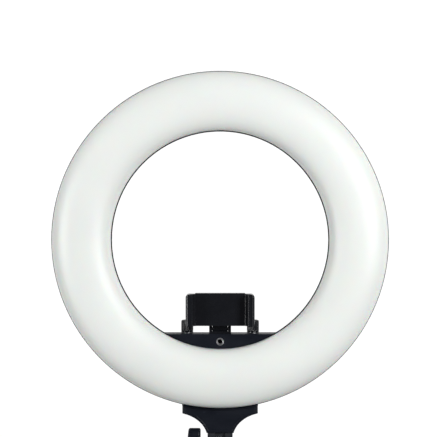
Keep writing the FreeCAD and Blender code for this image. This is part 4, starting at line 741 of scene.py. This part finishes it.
def opal_plastic():
    """Milky cover: cloudy white with faint yellowed patches, and light scatters just under the skin."""
    f = Finish("opal_plastic")
    broad = f.noise(7.0, 2.0)
    fine = f.noise(900.0, 2.0, 0.5)
    colour = f.blend(f.level(broad, 0.3, 0.7), (0.868, 0.868, 0.838), (0.905, 0.902, 0.874))
    colour = f.blend(f.level(f.noise(160.0, 4.0, 0.6), 0.62, 0.78, 0.0, 0.25), colour, (0.84, 0.835, 0.80))
    marks = f.scuffs(60.0, 0.33)
    roughness = f.level(f.combine("ADD", broad, f.combine("MULTIPLY", marks, 0.6)), 0.3, 1.2, 0.40, 0.55)
    normal = f.bump(fine, 0.10, 0.00015, f.bump(f.cells(2600.0), 0.06, 0.0001))
    return f.paint(colour, roughness, normal, IOR=1.49, Subsurface_Weight=0.18, Subsurface_Scale=0.006)


def moulded_black(name, dark, light, grain, shine):
    """Black plastic with a spark-eroded grain, faint flow marks, scuffs and pale worn edges."""
    f = Finish(name)
    flow = f.noise(22.0, 4.0, 0.6, f.placed((1, 1, 2.4), (0.2, 0.1, 0)))
    marks = f.scuffs(110.0, 0.32)
    worn = f.combine("MULTIPLY", f.attribute("edge_wear"), f.level(f.noise(420.0, 3.0), 0.35, 0.65))
    colour = f.blend(f.level(flow, 0.3, 0.7), dark, light)
    colour = f.blend(f.combine("MULTIPLY", marks, 0.5), colour, tuple(3.2 * c for c in light))
    colour = f.blend(f.combine("MULTIPLY", worn, 0.55), colour, (0.055, 0.058, 0.066))
    roughness = f.level(f.combine("ADD", flow, f.combine("MULTIPLY", marks, 0.5)), 0.25, 1.1, shine, shine + 0.2)
    pits = f.combine("MULTIPLY", f.cells(2300.0, feature="SMOOTH_F1"), f.noise(3100.0, 2.0))
    normal = f.bump(pits, grain, 0.00012, f.bump(flow, 0.04, 0.0006))
    return f.paint(colour, roughness, normal, Specular_IOR_Level=0.13)


def black_shell():
    return moulded_black("grained_black_plastic", (0.0048, 0.0063, 0.0112), (0.0076, 0.0095, 0.0150), 0.32, 0.40)


def black_gloss():
    """Smooth black plastic with a polishing haze and fine scratches that catch the light."""
    f = Finish("smooth_black_plastic")
    flow = f.noise(34.0, 3.0)
    haze = f.noise(240.0, 5.0, 0.65)
    marks = f.scuffs(170.0, 0.27)
    colour = f.blend(f.level(flow, 0.3, 0.7), (0.0052, 0.0058, 0.0082), (0.0080, 0.0088, 0.0115))
    colour = f.blend(f.combine("MULTIPLY", marks, 0.2), colour, (0.03, 0.032, 0.038))
    roughness = f.level(f.combine("ADD", haze, f.combine("MULTIPLY", marks, 0.6)), 0.35, 1.1, 0.20, 0.36)
    normal = f.bump(haze, 0.03, 0.00005, f.bump(flow, 0.04, 0.0006))
    return f.paint(colour, roughness, normal, Specular_IOR_Level=0.33)


def black_casting():
    """Powder coat with an orange peel surface and small chips down to the metal."""
    f = Finish("powder_coated_casting")
    peel = f.noise(650.0, 3.0, 0.6)
    broad = f.noise(40.0, 3.0)
    chips = f.level(f.noise(180.0, 5.0, 0.7), 0.70, 0.74)
    colour = f.blend(f.level(broad, 0.3, 0.7), (0.0075, 0.0088, 0.0125), (0.0125, 0.0140, 0.0185))
    colour = f.blend(chips, colour, (0.11, 0.11, 0.115))
    roughness = f.level(f.combine("ADD", peel, broad), 0.7, 1.3, 0.42, 0.6)
    normal = f.bump(peel, 0.3, 0.0002)
    return f.paint(colour, roughness, normal, Specular_IOR_Level=0.42)


def plated_metal(name, dark, light, shine, metallic, ring_axis):
    """Turned metal: rings about an axis, cloudy plating, a few dark specks."""
    f = Finish(name)
    cloud = f.noise(120.0, 4.0, 0.6)
    cut_rings = f.noise(700.0, 2.0, 0.5, f.placed({"X": (20, 1, 1), "Y": (1, 20, 1), "Z": (1, 1, 20)}[ring_axis]))
    specks = f.level(f.noise(900.0, 3.0), 0.68, 0.74)
    colour = f.blend(f.level(cloud, 0.3, 0.7), dark, light)
    colour = f.blend(f.combine("MULTIPLY", specks, 0.6), colour, tuple(0.35 * c for c in dark))
    roughness = f.level(f.combine("ADD", cut_rings, cloud), 0.6, 1.4, shine, shine + 0.22)
    normal = f.bump(cut_rings, 0.22, 0.00008)
    return f.paint(colour, roughness, normal, Metallic=metallic)


def black_steel():
    return plated_metal("blackened_steel", (0.028, 0.028, 0.032), (0.05, 0.05, 0.054), 0.30, 0.85, "Y")


def bright_steel():
    return plated_metal("zinc_plated_steel", (0.46, 0.47, 0.50), (0.62, 0.62, 0.63), 0.22, 1.0, "X")


def brass():
    return plated_metal("turned_brass", (0.50, 0.40, 0.24), (0.72, 0.60, 0.38), 0.24, 1.0, "Y")


def rubber():
    """Matt rubber with a pale bloom in patches and a fine grain."""
    f = Finish("moulded_rubber")
    bloom = f.noise(90.0, 4.0, 0.65)
    grain = f.noise(2600.0, 2.0)
    colour = f.blend(f.level(bloom, 0.35, 0.75), (0.013, 0.013, 0.0145), (0.027, 0.027, 0.029))
    roughness = f.level(bloom, 0.3, 0.7, 0.68, 0.88)
    return f.paint(colour, roughness, f.bump(grain, 0.3, 0.0001), Specular_IOR_Level=0.35)


def fibre():
    """Red-brown pressed fibre with strands drawn out along one way."""
    f = Finish("vulcanised_fibre")
    strands = f.noise(500.0, 4.0, 0.7, f.placed((1, 1, 5), (0.4, 0.2, 0)))
    colour = f.blend(strands, (0.20, 0.055, 0.028), (0.34, 0.11, 0.055))
    return f.paint(colour, f.level(strands, 0.3, 0.7, 0.65, 0.85), f.bump(strands, 0.3, 0.00012))


def lamp_board():
    """White solder mask with faint copper tracks as the edges of Voronoi cells."""
    f = Finish("white_lamp_board")
    tracks = f.cells(55.0, feature="DISTANCE_TO_EDGE")
    lines = f.level(tracks, 0.02, 0.05)
    colour = f.blend(lines, (0.70, 0.72, 0.70), (0.84, 0.85, 0.835))
    colour = f.blend(f.level(f.noise(60.0, 4.0), 0.6, 0.8, 0.0, 0.3), colour, (0.72, 0.68, 0.56))
    return f.paint(colour, f.level(f.noise(300.0), 0.3, 0.7, 0.28, 0.42), f.bump(lines, 0.25, 0.00006))


def circuit_board():
    """Green solder mask over raised tracks and tinned pads."""
    f = Finish("green_circuit_board")
    tracks = f.level(f.cells(170.0, feature="DISTANCE_TO_EDGE"), 0.06, 0.10)
    pads = f.level(f.cells(300.0), 0.16, 0.18)
    colour = f.blend(tracks, (0.02, 0.13, 0.055), (0.008, 0.07, 0.03))
    colour = f.blend(pads, (0.55, 0.55, 0.53), colour)
    return f.paint(colour, f.level(f.noise(400.0), 0.3, 0.7, 0.25, 0.45), f.bump(tracks, 0.35, 0.00008))


def component_bodies():
    """Moulded packages: each stands in its own patch of darker or lighter casing colour."""
    f = Finish("component_packages")
    kind = f.level(f.noise(45.0, 0.0), 0.42, 0.58)
    colour = f.blend(kind, (0.018, 0.018, 0.02), (0.10, 0.075, 0.03))
    grain = f.noise(1500.0, 2.0)
    return f.paint(colour, f.level(grain, 0.3, 0.7, 0.35, 0.55), f.bump(grain, 0.2, 0.00006))


def lamp_window(name, body, phosphor):
    """LED packages: a phosphor gel with fine grains over a pale frame."""
    f = Finish(name)
    grains = f.noise(5200.0, 2.0)
    gel = f.level(f.noise(420.0, 1.0), 0.35, 0.6)
    colour = f.blend(gel, body, phosphor)
    colour = f.blend(f.level(grains, 0.4, 0.8, 0.0, 0.35), colour, tuple(0.8 * c for c in phosphor))
    return f.paint(colour, f.level(grains, 0.3, 0.7, 0.12, 0.3), f.bump(grains, 0.15, 0.00004), Coat_Weight=0.4)


def cool_lamps():
    return lamp_window("cool_white_lamps", (0.82, 0.82, 0.78), (0.88, 0.84, 0.42))


def warm_lamps():
    return lamp_window("warm_white_lamps", (0.82, 0.80, 0.74), (0.90, 0.55, 0.12))


def lead_sleeves():
    """Flexible sleeves, red on one side of the harness and black on the other."""
    f = Finish("lead_sleeves")
    side = f.level(f.noise(260.0, 0.0, 0.5, f.placed((1, 0, 0))), 0.47, 0.53)
    colour = f.blend(side, (0.30, 0.022, 0.02), (0.018, 0.018, 0.02))
    fine = f.noise(900.0, 2.0)
    return f.paint(colour, f.level(fine, 0.3, 0.7, 0.35, 0.5), f.bump(fine, 0.1, 0.00008))


FINISHES = {
    "opal_diffuser": opal_plastic,
    "black_shell": black_shell,
    "black_gloss": black_gloss,
    "black_casting": black_casting,
    "black_steel": black_steel,
    "bright_steel": bright_steel,
    "brass": brass,
    "rubber": rubber,
    "fibre": fibre,
    "white_board": lamp_board,
    "green_board": circuit_board,
    "components": component_bodies,
    "cool_led": cool_lamps,
    "warm_led": warm_lamps,
    "lead_sleeve": lead_sleeves,
}
MATERIALS = {slot: build() for slot, build in FINISHES.items()}
SLOT_OF = {part["node"]: part["material_slot"] for part in frame["record"]["subparts"]}
BODY_OF = {
    node: body for body, members in frame["record"]["behaviour"]["bodies"].items() for node in members
}


def place(piece, body, slot, *nodes):
    """Gives a piece its finish, and lets it stand for CAD nodes on their body."""
    piece.data.materials.clear()
    piece.data.materials.append(MATERIALS[slot])
    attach(piece, body)
    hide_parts(*nodes)


def finish_cad_nodes():
    """Every CAD node gets the finish of its material slot in the record."""
    for node, thing in frame["nodes"].items():
        material = MATERIALS[SLOT_OF[node]]
        if not thing.data.materials:
            thing.data.materials.append(material)
        for held in thing.material_slots:
            held.material = material


# ---------------------------------------------------------------- floor, light and camera
FLOOR_DROP = 0.4 * MM         # below the socket's mouth, so that nothing touches it
NEAR_FLOOR, FAR_FLOOR = 0.20, 0.48
FLOOR_GLOW = 0.5              # share of plain white right under the object


def make_floor():
    """A round pale floor that fades into the white surround away from the object."""
    angles = turn(96)
    reach = np.array([0.05, 0.5, 2.0, 8.0, 24.0])[:, None]
    points = revolve(reach, np.full((5, 1), CAD_BOX[0][2] - FLOOR_DROP), (0, 0, 0), "z", angles)
    number = np.arange(points.shape[0] * points.shape[1]).reshape(points.shape[:2])
    number = np.hstack([number, number[:, :1]])
    quads = np.stack([number[:-1, :-1], number[1:, :-1], number[1:, 1:], number[:-1, 1:]], axis=-1)
    faces = quads.reshape(-1, 4).tolist() + [list(range(len(angles)))]
    mesh = bpy.data.meshes.new("studio_floor")
    mesh.from_pydata(points.reshape(-1, 3).tolist(), [], faces)
    finish_shading(mesh, 60)
    f = Finish("pale_floor")
    reach_out = f.tree.nodes.new("ShaderNodeVectorMath")
    reach_out.operation = "LENGTH"
    f.feed(reach_out.inputs[0], f.here)
    share = f.level(reach_out.outputs["Value"], NEAR_FLOOR, FAR_FLOOR, FLOOR_GLOW, 1.0)
    f.shader.inputs["Base Color"].default_value = (0.86, 0.86, 0.86, 1)
    f.shader.inputs["Roughness"].default_value = 0.75
    glow = f.tree.nodes.new("ShaderNodeEmission")
    glow.inputs["Strength"].default_value = 1.05
    both = f.tree.nodes.new("ShaderNodeMixShader")
    f.feed(both.inputs[0], share)
    f.feed(both.inputs[1], f.shader.outputs[0])
    f.feed(both.inputs[2], glow.outputs[0])
    out = next(n for n in f.tree.nodes if n.type == "OUTPUT_MATERIAL")
    f.feed(out.inputs["Surface"], both.outputs[0])
    mesh.materials.append(f.material)
    floor = bpy.data.objects.new("studio_floor", mesh)
    bpy.context.scene.collection.objects.link(floor)
    floor.visible_diffuse = floor.visible_glossy = False


SURROUND_FRONT, SURROUND_BACK = 0.13, 1.0


def make_surround():
    """A white studio: white behind the object, and a dimmer room on the lit face's side."""
    world = bpy.data.worlds.new("white_studio")
    bpy.context.scene.world = world
    world.use_nodes = True
    tree = world.node_tree
    tree.nodes.clear()
    out = tree.nodes.new("ShaderNodeOutputWorld")
    seen = tree.nodes.new("ShaderNodeBackground")
    seen.inputs["Color"].default_value = (1, 1, 1, 1)
    seen.inputs["Strength"].default_value = 1.05
    lit = tree.nodes.new("ShaderNodeBackground")
    where = tree.nodes.new("ShaderNodeTexCoord")
    split = tree.nodes.new("ShaderNodeSeparateXYZ")
    tree.links.new(where.outputs["Generated"], split.inputs[0])
    level = tree.nodes.new("ShaderNodeMapRange")
    level.interpolation_type = "SMOOTHSTEP"
    level.inputs["From Min"].default_value = -0.4
    level.inputs["From Max"].default_value = 0.7
    level.inputs["To Min"].default_value = SURROUND_FRONT
    level.inputs["To Max"].default_value = SURROUND_BACK
    tree.links.new(split.outputs["Y"], level.inputs["Value"])
    tree.links.new(level.outputs["Result"], lit.inputs["Strength"])
    ray = tree.nodes.new("ShaderNodeLightPath")
    both = tree.nodes.new("ShaderNodeMixShader")
    tree.links.new(ray.outputs["Is Camera Ray"], both.inputs[0])
    tree.links.new(lit.outputs[0], both.inputs[1])
    tree.links.new(seen.outputs[0], both.inputs[2])
    tree.links.new(both.outputs[0], out.inputs["Surface"])


def make_light(name, offset, wide, tall, power):
    """A soft oblong light, aimed at the middle of the ring."""
    lamp = bpy.data.lights.new(name, "AREA")
    lamp.shape = "RECTANGLE"
    lamp.energy, lamp.size, lamp.size_y = power, wide, tall
    held = bpy.data.objects.new(name, lamp)
    middle = Vector((0, 0, RING_Z))
    held.location = middle + Vector(offset)
    held.rotation_euler = (middle - held.location).to_track_quat("-Z", "Y").to_euler()
    bpy.context.scene.collection.objects.link(held)


VIEW_DISTANCE = 1.5
VIEW_WIDTH = 0.466            # what the camera takes in at the ring
VIEW_RISE = 22.6 * MM         # camera above the ring's middle
VIEW_SIDE = -1.7 * MM
SENSOR = 36.0


def make_camera():
    """A level camera that looks along +Y from a little above the ring's middle."""
    lens = bpy.data.cameras.new("camera")
    lens.sensor_width = SENSOR
    lens.lens = SENSOR * VIEW_DISTANCE / VIEW_WIDTH
    lens.clip_start, lens.clip_end = 0.05, 60.0
    held = bpy.data.objects.new("camera", lens)
    held.location = (VIEW_SIDE, RIM_Y - VIEW_DISTANCE, RING_Z + VIEW_RISE)
    held.rotation_euler = (math.pi / 2, 0, 0)
    bpy.context.scene.collection.objects.link(held)
    bpy.context.scene.camera = held


BROKEN_EDGES = {
    "clamp_body": 0.6,
    "clamp_back_cover": 0.4,
    "fixed_jaw": 0.6,
    "sliding_jaw": 0.6,
    "holder_fork": 0.4,
    "holder_arm": 0.4,
    "neck_rear_cover": 0.4,
    "neck_bracket": 0.5,
    "stand_socket": 0.4,
    "switch_housing": 0.25,
    "power_rocker": 0.3,
    "tilt_nut": 0.4,
}


def build():
    """Finishes the CAD nodes, makes every visible piece, then the studio round them."""
    finish_cad_nodes()
    make_diffuser()
    make_dial("brightness_dial", "brightness_knob", "brightness_knob")
    make_dial("colour_dial", "colour_knob", "colour_knob")
    make_thread_insert()
    make_neck_cover()
    make_tilt_grip()
    make_lock_grip()
    make_jaw_rubber("fixed_jaw_rubber", "fixed_jaw_pad", "phone_clamp")
    make_jaw_rubber("sliding_jaw_rubber", "sliding_jaw_pad", "sliding_jaw")
    make_springs()
    for node, width in BROKEN_EDGES.items():
        break_edges(node, width * MM)
    make_floor()
    make_surround()
    make_light("key_light", (1.25, -1.6, 0.42), 0.7, 0.7, 35.5)
    make_light("fill_light", (-1.5, -1.15, -0.08), 0.6, 1.0, 23.0)
    make_camera()
    bpy.context.scene.view_settings.view_transform = "Standard"


build()
